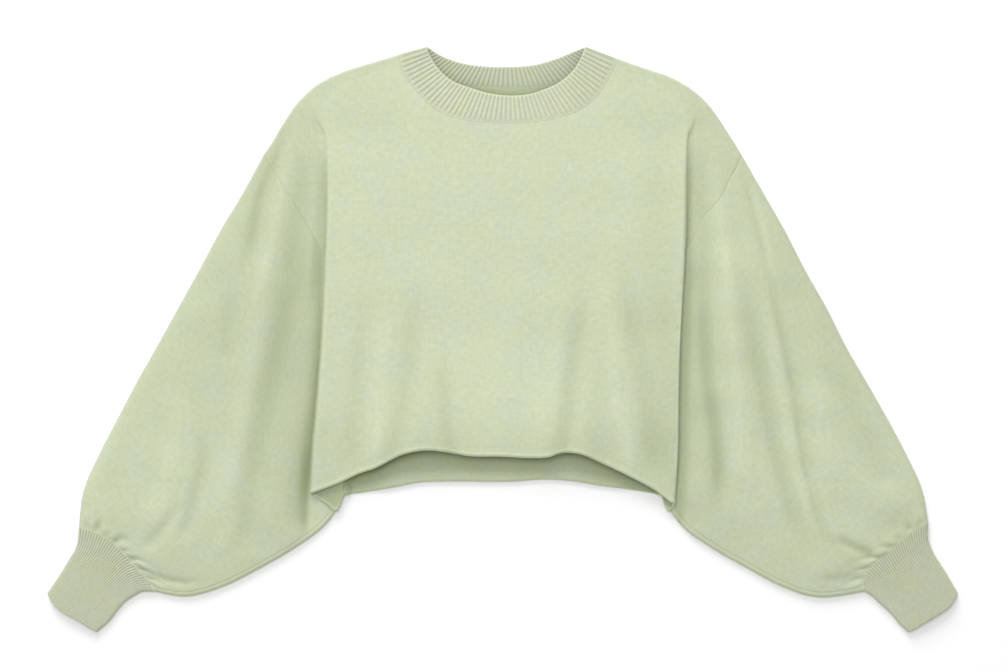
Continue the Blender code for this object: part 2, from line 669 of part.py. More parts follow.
def outward(sheet, column, row):
    """Unit normal of a sheet's outer face at one place."""
    here = sheet.at(column, row)
    ahead = step_column(column, STEP)
    behind = step_column(column, -STEP)
    along = (sheet.at(ahead, row) if ahead is not None else here)
    along = along - (sheet.at(behind, row) if behind is not None else here)
    first, last = sheet.rows[0], sheet.rows[-1]
    up = sheet.at(column, min(row + STEP, last)) - sheet.at(column, max(row - STEP, first))
    normal = np.cross(along, up) * sheet.facing(column)
    return normal / np.linalg.norm(normal)


def make_wall(name, sheet, closed, colour, collection):
    """Closed solid between a sheet's outer face and the same face moved in by the wall."""
    count = len(sheet.columns)
    outer = []
    inner = []
    for row in sheet.rows:
        for column in sheet.columns:
            place = sheet.at(column, row)
            normal = outward(sheet, column, row)
            outer.append(place + normal * sheet.rib(column, row))
            inner.append(place - normal * sheet.wall(column, row))
    mesh = bmesh.new()
    outer = [mesh.verts.new(p * MM) for p in outer]
    inner = [mesh.verts.new(p * MM) for p in inner]
    wraps = count if closed else count - 1
    height = len(sheet.rows)
    for j in range(height - 1):
        for i in range(wraps):
            a, b = j * count + i, j * count + (i + 1) % count
            c, d = b + count, a + count
            mesh.faces.new((outer[a], outer[b], outer[c], outer[d]))
            mesh.faces.new((inner[d], inner[c], inner[b], inner[a]))
    for i in range(wraps):
        for a in (i, (height - 1) * count + i):
            b = a - i + (i + 1) % count
            mesh.faces.new((outer[b], outer[a], inner[a], inner[b]))
    if not closed:
        for j in range(height - 1):
            for a in (j * count, j * count + count - 1):
                mesh.faces.new((outer[a], outer[a + count], inner[a + count], inner[a]))
    bmesh.ops.recalc_face_normals(mesh, faces=mesh.faces)
    data = bpy.data.meshes.new(name)
    mesh.to_mesh(data)
    mesh.free()
    material = bpy.data.materials.new(name + "_knit")
    material.use_nodes = True
    shader = material.node_tree.nodes["Principled BSDF"]
    shader.inputs["Base Color"].default_value = (*colour, 1)
    shader.inputs["Roughness"].default_value = 0.95
    shader.inputs["Metallic"].default_value = 0.0
    data.materials.append(material)
    piece = bpy.data.objects.new(name, data)
    collection.objects.link(piece)
    data.shade_smooth()
    data.set_sharp_from_angle(angle=math.radians(40))
    return piece


def main():
    for item in list(bpy.data.objects):
        bpy.data.objects.remove(item)
    collection = bpy.data.collections.new("cropped_knit_sweater")
    bpy.context.scene.collection.children.link(collection)
    body_colour = (0.60, 0.68, 0.48)
    rib_colour = (0.53, 0.60, 0.42)
    make_wall("body_front", Front(), False, body_colour, collection)
    make_wall("body_back", Back(), False, body_colour, collection)
    for side in ("left", "right"):
        make_wall("sleeve_" + side, Sleeve(side), True, body_colour, collection)
        make_wall("cuff_" + side, Cuff(side), True, rib_colour, collection)
    make_wall("neckband", Neckband(), True, body_colour, collection)


main()
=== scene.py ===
# Cropped knit sweater with balloon sleeves, laid flat on its back.
# Each knitted piece is one sheet: a grid of columns across it and rows along it, with the
# thickness of the knit on its inner side and a rounded edge all round. The forms keep the
# sizes of the CAD pieces, and finer folds, gathers, ribs and rolled edges are added here.
# Tables and sizes are in millimetres: X across the shoulders, Y from hem to neck, Z up.
# "Out" is the distance from the garment's middle line towards the piece's own side.

import math

import bpy
import numpy as np
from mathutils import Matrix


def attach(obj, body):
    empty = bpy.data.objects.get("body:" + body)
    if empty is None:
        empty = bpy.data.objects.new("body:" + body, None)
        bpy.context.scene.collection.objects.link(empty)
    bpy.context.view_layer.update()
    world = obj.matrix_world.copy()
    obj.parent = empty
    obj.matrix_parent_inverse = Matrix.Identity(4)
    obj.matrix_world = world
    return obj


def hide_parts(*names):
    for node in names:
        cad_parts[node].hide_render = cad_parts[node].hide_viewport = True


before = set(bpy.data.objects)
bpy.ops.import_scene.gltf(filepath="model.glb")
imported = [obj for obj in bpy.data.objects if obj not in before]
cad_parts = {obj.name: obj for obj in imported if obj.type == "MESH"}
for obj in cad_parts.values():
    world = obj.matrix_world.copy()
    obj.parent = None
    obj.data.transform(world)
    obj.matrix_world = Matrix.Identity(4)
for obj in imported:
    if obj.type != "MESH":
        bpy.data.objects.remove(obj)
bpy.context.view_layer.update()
bpy.ops.object.select_all(action="DESELECT")

cloth = {
    "wall": 2.2,           # thickness of the lofty knit
    "foldRadius": 2.75,    # where a flattened tube turns over its edge
    "layers": 5.5,         # two layers lying on each other
    "seamGap": 0.3,        # the back's side edges stay this far above the sleeves
    "seamClear": 0.01,     # a sewn edge stops this far short of its seam
    "seamRound": 0.01,     # and bulges only this much
    "seamDip": 0.32,       # the cloth dips this much along a sewn seam
    "seamWidth": 1.2,
    "hemRound": 1.1,       # how far a free edge bulges
}


def makeTable(names, *rows):
    # rows of sizes with named columns, read as smooth curves along the first one
    columns = np.array(rows, dtype=float).T
    return {name: (columns[0], values, np.gradient(values, columns[0]))
            for name, values in zip(names.split(), columns)}


def readTable(table, name, place):
    stations, values, slopes = table[name]
    k = np.clip(np.searchsorted(stations, place) - 1, 0, len(stations) - 2)
    span = stations[k + 1] - stations[k]
    t = np.clip((place - stations[k]) / span, 0, 1)
    return (values[k] * (1 + 2 * t) * (1 - t) ** 2 + values[k + 1] * t * t * (3 - 2 * t)
            + span * (slopes[k] * t * (1 - t) ** 2 - slopes[k + 1] * t * t * (1 - t)))


def makeLine(*points):
    points = np.array(points, dtype=float)
    steps = np.hypot(*np.diff(points, axis=0).T)
    fractions = np.concatenate(([0.0], np.cumsum(steps) / steps.sum()))
    return makeTable("fraction x y", *np.column_stack((fractions, points)))


def readLine(line, fraction):
    return np.stack((readTable(line, "x", fraction), readTable(line, "y", fraction)), axis=-1)


def foldRows(names, *rows):
    return [dict(zip(names.split(), row)) for row in rows]


def ease(t):
    t = np.clip(t, 0, 1)
    return t * t * (3 - 2 * t)


def quarter(t):
    return np.sqrt(1 - (1 - np.clip(t, 0, 1)) ** 2)


def mix(a, b, t):
    return a + (b - a) * t


def bump(distance, width):
    return np.exp(-(distance / width) ** 2)


def fold(depth, width, *points, shade=None):
    # a soft ridge (or a trough, where its depth is negative) along a line of plan points, with its
    # painted shade: unless given, a trough is painted darker and a ridge lighter
    line = readLine(makeLine(*points), np.linspace(0, 1, 25))
    return {"depth": depth, "width": width, "line": line,
            "shade": -depth if shade is None else shade}


def foldRelief(folds, x, y):
    # height that the soft folds of one table add, and the painted shade they put on the cloth
    height, shade = np.zeros((2,) + np.broadcast(x, y).shape)
    for crease in folds:
        aside, along = offLine(x, y, crease["line"])
        ends = ease(along * 2.6) * ease((1 - along) * 6)    # it starts slowly and ends faster
        share = bump(aside, crease["width"]) * ends
        height = height + crease["depth"] * share
        shade = shade + crease["shade"] * share
    return height, shade


def undulation(x, y, size, seed, waves=14):
    # gentle unevenness of cloth that isn't pressed, about 1 high at most
    dice = np.random.default_rng(seed)
    total = np.zeros(np.broadcast(x, y).shape)
    for _ in range(waves):
        angle, phase = dice.uniform(0, math.pi), dice.uniform(0, 2 * math.pi)
        stretch = dice.uniform(0.7, 1.6)
        distance = x * math.cos(angle) + y * math.sin(angle)
        total = total + np.sin(distance * 2 * math.pi / (size * stretch) + phase)
    return total / math.sqrt(waves)


def offLine(x, y, line):
    # plan distance from places to a line of points, and the share of it where they are nearest
    place = np.stack(np.broadcast_arrays(x, y), axis=-1)[..., None, :]
    run = np.diff(line, axis=0)
    along = np.clip(((place - line[:-1]) * run).sum(-1) / (run * run).sum(-1), 0, 1)
    aside = np.linalg.norm(line[:-1] + run * along[..., None] - place, axis=-1)
    nearest = aside.argmin(-1)
    share = (nearest + np.take_along_axis(along, nearest[..., None], -1)[..., 0]) / len(run)
    return aside.min(-1), share


# Sizes of the outline that several pieces share.
outline = {
    "underarm": -2.75,         # heights (Y)
    "shoulderPoint": 203.0,
    "neckFrom": 235.0,         # the neck seams lie above this
    "sideSeam": 174.4,         # outward distance
    "underarmRow": 0.3475,     # shares of a panel's height
    "shoulderRow": 0.7725,
}
armhole = makeTable(
    "height left right",
    (outline["underarm"], 174.4, 174.4), (27, 179, 180), (60, 186.5, 188.5), (94, 196.5, 200.5),
    (113, 207.5, 210.5), (134, 220, 220.5), (149, 228.5, 234), (162, 236, 243.5),
    (175, 244.5, 249), (189, 253.5, 257), (outline["shoulderPoint"], 262.5, 262.5))
shoulder = makeTable(
    "height left right",
    (outline["shoulderPoint"], 262.5, 262.5), (219.5, 251.5, 252.5), (231, 245, 245),
    (243.5, 237, 237), (257, 228, 227), (270, 216, 214), (283.5, 198.5, 194), (290, 185.5, 180.5),
    (296.5, 169, 161), (303, 148, 142), (308.6, 129, 126.5), (313.5, 113.3, 111))
frontNeckSeam = (
    (-113.3, 313.5), (-112.8, 303), (-109.5, 293), (-103.5, 284), (-96.5, 274.5), (-86.4, 263.5),
    (-75.4, 253.6), (-56.7, 244.8), (-29, 239.3), (10.5, 237.6), (38, 239.3), (63.3, 243.7),
    (82, 250.3), (98, 260.5), (109.5, 274.5), (117, 287.5), (122, 297.5), (125.5, 304),
    (126.5, 308.6))
frontOpening = (
    (-82.5, 322), (-81.5, 317), (-77.3, 308.5), (-72.6, 300.8), (-66.5, 293.7), (-59.5, 287.6),
    (-51.7, 283), (-35.8, 277), (-16, 271), (7.2, 268), (34.7, 271), (46.8, 275.5),
    (58.6, 280.6), (66.4, 285.9), (78.3, 297.2), (83.7, 305.6), (87.3, 313.4), (91, 322))
backNeckSeam = (
    (-113.3, 313.5), (-109, 303), (-99, 294), (-83, 286), (-62, 280), (-36, 277.5), (7, 275.5),
    (52, 277.5), (78, 283), (96, 289), (111, 297), (121, 304), (126.5, 308.6))
backOpening = (
    (-82.5, 322), (-68.8, 313), (-47.9, 305), (-19.2, 300.3), (7.2, 299.8), (34.7, 302),
    (57.8, 308.6), (78.7, 317), (91, 322))


def edgeOut(height, side):
    # outward distance of a panel's side edge: side seam, armhole or shoulder
    return np.where(height < outline["underarm"], outline["sideSeam"],
                    np.where(height < outline["shoulderPoint"], readTable(armhole, side, height),
                             readTable(shoulder, side, height)))


def shoulderEdge(side):
    end = 0 if side == "left" else -1
    heights = np.linspace(outline["shoulderPoint"], frontNeckSeam[end][1], 40)
    outs = readTable(shoulder, side, heights) * (-1 if side == "left" else 1)
    return np.vstack((np.column_stack((outs, heights)), frontOpening[end]))


shoulderEdges = {side: shoulderEdge(side) for side in ("left", "right")}


def fromShoulder(x, y):
    left, right = (offLine(x, y, shoulderEdges[side])[0] for side in ("left", "right"))
    return np.where(x < 0, left, right)


def neckEdge(seam, clear):
    # plan points of a panel's neck edge, clear of the band's edge
    points = readLine(makeLine(*seam), np.linspace(0, 1, 240))
    slope = np.gradient(points, axis=0)
    slope /= np.linalg.norm(slope, axis=1)[:, None]
    return points + clear * np.column_stack((slope[:, 1], -slope[:, 0]))


def panelHeights(columns, rows, placeOf, hem, neck):
    # Y of every row on every column, so that rows pass the underarm and the shoulder point
    low = np.full(len(columns), outline["neckFrom"])
    high = np.full(len(columns), shoulder["height"][0][-1])
    for _ in range(30):
        middle = (low + high) / 2
        under = middle < np.interp(placeOf(columns, middle)[0], neck[:, 0], neck[:, 1])
        low, high = np.where(under, middle, low), np.where(under, high, middle)
    pull = columns ** 4
    first, second = outline["underarmRow"], outline["shoulderRow"]
    atUnderarm = mix(mix(hem, low, first), outline["underarm"], pull)
    atShoulder = mix(mix(hem, low, second), outline["shoulderPoint"], pull)
    rows = rows[:, None]
    lower = mix(hem, atUnderarm, rows / first)
    middle = mix(atUnderarm, atShoulder, (rows - first) / (second - first))
    upper = mix(atShoulder, low, (rows - second) / (1 - second))
    return np.where(rows < first, lower, np.where(rows < second, middle, upper))


def panelRows(close, length, counts):
    # shares of a panel's height, closer at the hem and at the neck: close is in millimetres
    stops = (15 / length, outline["underarmRow"], outline["shoulderRow"], 0.985)
    even = [np.linspace(*ends, count) for *ends, count in zip(stops, stops[1:], counts)]
    last = (0.99, 0.994, 0.997, 0.9985, 0.9995, 1)
    return np.unique(np.concatenate((np.array(close) / length, *even, last)))


def atShoulderEdge(x, y, z, shoulderZ):
    # a panel's height, with the turn down, or up, to its shoulder edge
    radius = cloth["foldRadius"]
    turned = mix(shoulderZ, z, quarter(fromShoulder(x, y) / radius))
    return np.where(y > outline["shoulderPoint"] - 2 * radius, turned, z)


def gridNormals(face, wraps, facing):
    if wraps:
        across = np.roll(face, -1, axis=1) - np.roll(face, 1, axis=1)
    else:
        across = np.gradient(face, axis=1)
    normal = np.cross(across, np.gradient(face, axis=0)) * facing
    return normal / np.linalg.norm(normal, axis=2)[..., None]


def smoothed(field, passes, wraps):
    for _ in range(passes):
        ends = "wrap" if wraps else "edge"
        wide = np.pad(field, ((0, 0), (1, 1), (0, 0)), mode=ends)
        field = (wide[:, :-2] + 2 * field + wide[:, 2:]) / 4
        tall = np.pad(field, ((1, 1), (0, 0), (0, 0)), mode="edge")
        field = (tall[:-2] + 2 * field + tall[2:]) / 4
    return field / np.linalg.norm(field, axis=2)[..., None]


def lengthsAlong(face, axis, wraps=False):
    # running length over a grid, from its first row or column; a tube's first column comes twice
    if wraps:
        face = np.concatenate((face, face[:, :1]), axis=1)
    steps = np.linalg.norm(np.diff(face, axis=axis), axis=2)
    pad = ((1, 0), (0, 0)) if axis == 0 else ((0, 0), (1, 0))
    return np.cumsum(np.pad(steps, pad), axis=axis)


def centredLengths(face, middle, wraps=False):
    # running length across a grid, counted from its middle column
    across = lengthsAlong(face, 1, wraps)
    return across - across[:, middle][:, None]


def edgeRounds(low, high):
    # how far each edge of a sheet bulges; the side edges of a panel are sewn
    return {"low": cloth[low], "high": cloth[high],
            "first": cloth["seamRound"], "last": cloth["seamRound"]}


def makeSheet(name, outer, inner, across, along, wraps, facing, rounds, paintedShades, material):
    # closed mesh between two faces, with each free edge rounded by its own amount; the painted
    # shades say how darkly each place of the outer and the inner face is painted, from 0 to 1
    rows, columns = outer.shape[:2]
    grid = np.arange(rows * columns).reshape(rows, columns)
    if wraps:
        grid = np.hstack((grid, grid[:, :1]))
    uvGrid = np.arange(grid.size).reshape(grid.shape)
    points = [outer.reshape(-1, 3), inner.reshape(-1, 3)]
    uvs = [np.stack((across, along), axis=-1).reshape(-1, 2)] * 2
    paintedShadeValues = [np.broadcast_to(paintedShade, (rows, columns)).ravel() for paintedShade in paintedShades]
    quads, uvQuads, smooth = [], [], []

    def addPatch(vertices, places, flip):
        for table, store in ((vertices, quads), (places, uvQuads)):
            corners = [table[:-1, :-1], table[:-1, 1:], table[1:, 1:], table[1:, :-1]]
            if flip != (facing < 0):
                corners = corners[::-1]
            store.append(np.stack([corner.ravel() for corner in corners], axis=1))

    addPatch(grid, uvGrid, False)
    addPatch(grid + rows * columns, uvGrid + grid.size, True)
    smooth += [np.ones(len(quads[0]) * 2, dtype=bool)]
    away = np.zeros_like(outer)
    bulge = np.zeros((rows, columns))
    edges = [((0,), outer[0] - outer[1], "low"), ((-1,), outer[-1] - outer[-2], "high")]
    if not wraps:
        edges += [((slice(None), 0), outer[:, 0] - outer[:, 1], "first"),
                  ((slice(None), -1), outer[:, -1] - outer[:, -2], "last")]
    for place, direction, edge in edges:
        away[place] += direction / np.linalg.norm(direction, axis=-1)[..., None]
        bulge[place] = np.maximum(bulge[place], rounds[edge])
    if wraps:
        loops = [(grid[0], uvGrid[0]), (grid[-1][::-1], uvGrid[-1][::-1])]
    else:
        ring = np.concatenate((grid[0], grid[1:, -1], grid[-1, -2::-1], grid[-2:0:-1, 0],
                               grid[0, :1]))
        loops = [(ring, ring)]
    vertexCount, uvCount = 2 * rows * columns, 2 * grid.size
    for ring, uvRing in loops:
        body, far = outer.reshape(-1, 3)[ring], inner.reshape(-1, 3)[ring]
        out = away.reshape(-1, 3)[ring]
        across3 = (body - far) / np.linalg.norm(body - far, axis=1)[:, None]
        out = out - across3 * (out * across3).sum(1)[:, None]
        out = out / np.linalg.norm(out, axis=1)[:, None] * bulge.reshape(-1)[ring][:, None]
        layers, uvLayers = [ring], [uvRing]
        for angle in (math.pi / 4, math.pi / 2, 3 * math.pi / 4):
            cap = (body + far) / 2 + (body - far) / 2 * math.cos(angle) + out * math.sin(angle)
            points.append(cap[:-1])
            paintedShadeValues.append(paintedShadeValues[0][ring[:-1]])
            uvs.append(uvs[0][uvRing])
            index = np.arange(len(ring) - 1) + vertexCount
            layers.append(np.append(index, index[0]))
            uvLayers.append(np.arange(len(ring)) + uvCount)
            vertexCount += len(ring) - 1
            uvCount += len(ring)
        layers.append(ring + rows * columns)
        uvLayers.append(uvRing + grid.size)
        addPatch(np.array(layers), np.array(uvLayers), True)
        smooth.append(np.tile(bulge.reshape(-1)[ring[:-1]] > cloth["seamRound"], 4))
    mesh = bpy.data.meshes.new(name)
    mesh.from_pydata((np.vstack(points) / 1000).tolist(), [], np.vstack(quads).tolist())
    layer = mesh.uv_layers.new(name="knit")
    layer.data.foreach_set("uv", (np.vstack(uvs)[np.vstack(uvQuads).ravel()] / 1000).ravel())
    # painted shade, stored on the points for the material to mix in
    mesh.attributes.new("paintedShade", "FLOAT", "POINT").data.foreach_set("value", np.concatenate(paintedShadeValues))
    mesh.polygons.foreach_set("use_smooth", np.concatenate(smooth))    # a sewn edge stays crisp
    mesh.materials.append(material)
    piece = bpy.data.objects.new(name, mesh)
    bpy.context.scene.collection.objects.link(piece)
    print("made", name, "with", 2 * len(mesh.polygons), "triangles")
    return piece


def walled(face, normals, raised, wall, inside=0.0):
    # outer face with its relief, and the inner face a wall's thickness and its own relief below
    outer = face + normals * np.asarray(raised)[..., None]
    inner = face - normals * (wall + np.asarray(inside))[..., None]
    return outer, inner


# The front turns over at both sides, and a flap of it runs back in underneath to the side seam.
front = {
    "topShare": 0.72,          # share of the columns that lie between the side folds
    "liftReach": 140.0,        # the hem's lift dies out this far up
    "foldFades": 224.0,        # heights between which the side folds die out
    "foldEnds": 262.0,
    "crownReach": 110.0,       # the front rises to its side folds over this width
    "rollRise": 0.8,           # the rolled edge along the hem
    "rollAt": 1.5,
    "rollWidth": 1.5,
    "rollInside": 0.5,         # share of the roll on the inner side, and on that of the flaps
    "flapRollInside": 1.8,
    "hemLine": 8.0,            # where the turned hem ends
    "hemLineDepth": 0.15,
    "hemLineWidth": 0.9,
    "shoulderZ": 3.25,         # height of the edge that meets the back at the shoulder
    "unevenness": 0.35,
    "unevenSize": 60.0,
    "foldShade": 5.0,          # width of the painted shade beside each side fold, and its strength
    "besideShade": 0.47,
    "troughShade": 0.06,       # painted shade in a trough, for each millimetre of its depth
    "lowShade": 0.12,          # painted shade, darker towards the hem
    "shoulderShade": 0.07,
    "flankShade": 0.16,        # painted shade beyond the side folds, less so over the shoulders
    "insideShade": 0.1,        # painted shade inside the body
    "flapInsideShade": 0.42,   # and so much more inside the flaps
    "closeRows": (0, 0.8, 1.6, 2.4, 3.3, 4.4, 5.8, 7, 8, 9, 10.5, 12.5),    # from the hem
    "evenRows": (52, 82, 38),  # up to the underarm, the shoulder point and the neck
    "length": 430.0,
    "cut": (0.530, 0.502),
    "cutArea": 0.191,
}
# side folds outward, heights at the middle, the folds and the edge, and the folds' bend
frontForm = makeTable(
    "height leftFold rightFold middleZ foldZ lowZ bend",
    (-200, 212.5, 188.5, 9.5, 14.6, 5.8, 4.4), (-120, 208, 193, 9.5, 14.8, 5.8, 4.5),
    (-50, 201.8, 194, 9.5, 14.8, 5.8, 4.5), (20, 197, 196.5, 9.5, 14.8, 5.8, 4.5),
    (75, 195.4, 200, 9.5, 14.8, 5.8, 4.5), (94, 194.6, 201, 9.5, 14.6, 5.8, 4.5),
    (113, 193.8, 201.8, 9.5, 14.2, 5.5, 4.5), (155, 192.8, 202.4, 9.5, 13.2, 5.5, 4.5),
    (190, 193.2, 202.8, 9.3, 11.8, 5.5, 4.5), (215, 194.6, 203.6, 9, 10.2, 5.5, 4.5),
    (235, 195.5, 204.8, 8.5, 8.9, 5.5, 5), (257, 193.5, 196, 8, 8, 5.5, 20),
    (283.5, 163, 161, 7, 7, 5.5, 60),
    (296.5, 134, 128, 6.2, 6.2, 5.5, 60), (303, 114, 108, 5.8, 5.8, 5.5, 60),
    (313.5, 82, 92, 5.5, 5.5, 5.5, 60), (325, 60, 60, 5.5, 5.5, 5.5, 60))
# where the hem lies between the side folds, and how far it lifts off the back
frontHem = makeTable(
    "across height lift",
    (-206, -168, 0), (-175, -155.5, 1.5), (-161, -148.5, 3), (-141, -141.5, 5.5),
    (-110, -126, 12), (-80, -121.5, 14), (-60, -124, 12), (-40, -127.5, 10),
    (0, -128.5, 9.5), (30, -130, 10), (50, -129, 12.5), (64, -124.5, 14.5),
    (83, -125.5, 14.5), (108, -136, 10), (137, -150, 5), (170, -168, 1), (185, -179.5, 0))
# the hem of each flap, from its fold to the side seam
flapHem = makeTable(
    "fraction left right",
    (0, -168, -179.5), (0.4, -170.5, -182), (0.82, -175.5, -187.5), (0.9, -184, -188.5),
    (0.945, -189.5, -184), (1, -171, -171))
# soft folds down the front, from left to right, each with its painted shade; those of depth 0 are
# bands of painted shade alone
frontFolds = [
    fold(-1.6, 11, (-146, 60), (-157, -45), (-168, -160)),
    fold(1.8, 9, (-121, 50), (-129, -45), (-140, -150)),
    fold(-2.3, 12, (-92, 70), (-100, -12), (-109, -75), (-122, -130), (-128, -165), shade=2.8),
    fold(-2.2, 9, (-65, -5), (-58, -89), (-51, -150)),
    fold(0.5, 16, (-84, 30), (-84, -140), shade=1.2),
    fold(-3.0, 12, (90, 76), (85, 20), (79, -30), (72, -80), (58, -160), shade=3.4),
    fold(0.7, 14, (102, 50), (102, -20), (98, -150), shade=1.4),
    fold(-3.3, 12, (126, 112), (142, 21), (157, -55), (172, -165), shade=2.8),
    fold(1.4, 9, (122, 36), (130, -60), (146, -160)),
    fold(-0.8, 22, (180, 110), (183, -50), (182, -190), shade=2.6),
    fold(1.0, 20, (0, 40), (10, -80)),
    fold(0, 24, (174, 260), (174, 150), (166, 60), (158, -30), shade=1.6),
]
sectionStep = 2.0
sectionHeights = np.arange(-232.5, 332, sectionStep)
sectionShares = np.linspace(0, 1, 81)


def sideSection(height, side, folded):
    # points of the front from its fold's start out to its edge: outward and Z distances
    fold, top, low, bend = (float(readTable(frontForm, name, height))
                            for name in (side + "Fold", "foldZ", "lowZ", "bend"))
    clear = cloth["seamClear"] * (1 - ease((height - outline["shoulderPoint"]) / 8))
    edge = float(edgeOut(height, side) - clear)
    if not folded:
        return np.array([(mix(fold, edge, t), mix(top, low, t)) for t in np.linspace(0, 1, 9)])
    drop = top - low
    reach = edge - fold
    if reach <= 0:
        radius = drop / 2
        start = fold - radius
        turn = math.pi if edge <= start else 2 * math.atan(radius / (edge - start))
        angles = np.linspace(0, turn, 17)
        arc = [(start + radius * math.sin(a), top - radius * (1 - math.cos(a))) for a in angles]
        return np.array(arc + [(edge, low)])
    radius = max(bend, drop / 2)
    turn = math.acos(1 - drop / (2 * radius))
    foot = min(radius, 0.6 * reach)
    slope = (drop - (radius + foot) * (1 - math.cos(turn))) / math.sin(turn)
    start = fold - radius * math.sin(turn)
    angles = np.linspace(0, turn, 13)
    points = [(start + radius * math.sin(a), top - radius * (1 - math.cos(a))) for a in angles]
    footX = points[-1][0] + slope * math.cos(turn)
    footZ = points[-1][1] - slope * math.sin(turn)
    points += [(footX + foot * (math.sin(turn) - math.sin(turn - a)),
                footZ - foot * (math.cos(turn - a) - math.cos(turn))) for a in angles]
    return np.array(points + [(edge, low)])


def alongSection(points):
    # the section at each of the shares, closer together where it turns down
    runs = np.diff(points, axis=0)
    lengths = np.hypot(*runs.T)
    keep = lengths > 1e-6
    headings = np.unwrap(np.arctan2(runs[keep, 1], runs[keep, 0]))
    turns = np.maximum(-np.diff(headings, prepend=headings[0]), 0)
    points = np.vstack((points[:1], points[1:][keep]))
    weight = np.concatenate(([0.0], np.cumsum(lengths[keep] / lengths.sum() + turns * 0.9)))
    weight /= weight[-1]
    return np.column_stack([np.interp(sectionShares, weight, line) for line in points.T])


def sectionAt(height, side):
    # the side fold dies out over the shoulder
    plain = ease((height - front["foldFades"]) / (front["foldEnds"] - front["foldFades"]))
    flat = alongSection(sideSection(height, side, False))
    return flat if plain == 1 else mix(alongSection(sideSection(height, side, True)), flat, plain)


sections = {side: np.array([sectionAt(height, side) for height in sectionHeights])
            for side in ("left", "right")}


def readSections(side, height, share):
    # outward and Z distances on the side sections, between the worked-out ones
    row = np.clip((height - sectionHeights[0]) / sectionStep, 0, len(sectionHeights) - 1.001)
    column = np.clip(share, 0, 1) * (len(sectionShares) - 1.001)
    j, i = row.astype(int), column.astype(int)
    a, b = (row - j)[..., None], (column - i)[..., None]
    table = sections[side]
    below = mix(table[j, i], table[j, i + 1], b)
    above = mix(table[j + 1, i], table[j + 1, i + 1], b)
    place = mix(below, above, a)
    return place[..., 0], place[..., 1]


# ridges that run from the shoulders across the armhole seams into the sleeves, with their painted
# shade; those of depth 0 are bands of painted shade alone
shoulderFolds = {
    "left": [
        fold(1.7, 9, (232, 250), (240, 170), (262, 60), (276, 0)),
        fold(-0.8, 8, (220, 224), (221, 170), (228, 120), (238, 60), shade=1.9),
        fold(1.5, 6, (209, 224), (208, 150), (212, 70), (214, 20)),
        fold(-0.6, 6, (226, 258), (238, 230), (250, 197), (265, 162), (273, 120), (280, 80),
             shade=3.0),
        fold(0, 15, (202, 236), (207, 150), (212, 70), (214, 0), shade=2.2),
    ],
    "right": [
        fold(1.5, 9, (232, 246), (238, 160), (250, 60), (262, -20)),
        fold(2.0, 8, (268, 190), (280, 140), (298, 60), (306, -20)),
        fold(-0.8, 7, (216, 226), (219, 170), (222, 110), (220, 60), shade=1.5),
        fold(-0.5, 5, (262, 200), (268, 170), (280, 120), (290, 80), shade=2.2),
    ],
}


def shoulderRelief(side, out, y):
    height, shade = foldRelief(shoulderFolds[side], out, y)
    return height * ease((y - 20) / 60), shade * ease((y - 20) / 60)


def seamShown(side, y):
    # the armhole seam sinks deeper into the cloth low on the left, and high on the right
    drawn = ease((168 - y) / 20) if side == "left" else ease((y - 135) / 25)
    return mix(0.3, 1, drawn)


def onSide(isLeft, reader, *places):
    # one reader's result on the left where it is the left side, else on the right
    left, right = reader("left", *places), reader("right", *places)
    if isinstance(left, tuple):
        return tuple(np.where(isLeft, a, b) for a, b in zip(left, right))
    return np.where(isLeft, left, right)


def hemLift(x, y):
    above = (y - readTable(frontHem, "height", x)) / front["liftReach"]
    return readTable(frontHem, "lift", x) * (1 - ease(above)) ** 1.3


def outwardEdge(x, y):
    # outward distance of the panel's edge on the side that each place is on
    return onSide(x < 0, lambda side, height: edgeOut(height, side), y)


def frontRelief(x, y):
    return (foldRelief(frontFolds, x, y)[0] + hemLift(x, y)
            + front["unevenness"] * undulation(x, y, front["unevenSize"], 4))


def frontLevel(x, y):
    # height of the outer face between the side folds, and on down to the edge
    start = onSide(x < 0, readSections, y, np.zeros_like(y))[0]
    edge = outwardEdge(x, y)
    middle, top, low = (readTable(frontForm, name, y) for name in ("middleZ", "foldZ", "lowZ"))
    crown = (1 - np.clip((start - abs(x)) / front["crownReach"], 0, 1)) ** 2
    level = middle + (top - middle) * crown
    outside = mix(top, low, np.clip((abs(x) - start) / np.maximum(edge - start, 1), 0, 1))
    return np.where(abs(x) > start, outside, level + frontRelief(x, y))


def frontPlace(column, height):
    column, height = np.broadcast_arrays(column, height)
    isLeft, sign = column < 0, np.where(column < 0, -1, 1)
    start = onSide(isLeft, readSections, height, np.zeros_like(height))[0]
    x = sign * start * abs(column) / front["topShare"]
    share = np.clip((abs(column) - front["topShare"]) / (1 - front["topShare"]), 0, 1)
    out, z = onSide(isLeft, readSections, height, share)
    z = z + frontRelief(sign * start, height) * (1 - ease(share * 4))
    clear = ease((out - start - 6) / 8) * ease((height - 85) / 20)
    clear = clear * ease((fromShoulder(sign * out, height) - 2) / 12)
    z = z + onSide(isLeft, shoulderRelief, out, height)[0] * clear
    isTop = abs(column) <= front["topShare"]
    return np.where(isTop, x, sign * out), np.where(isTop, frontLevel(x, height), z)


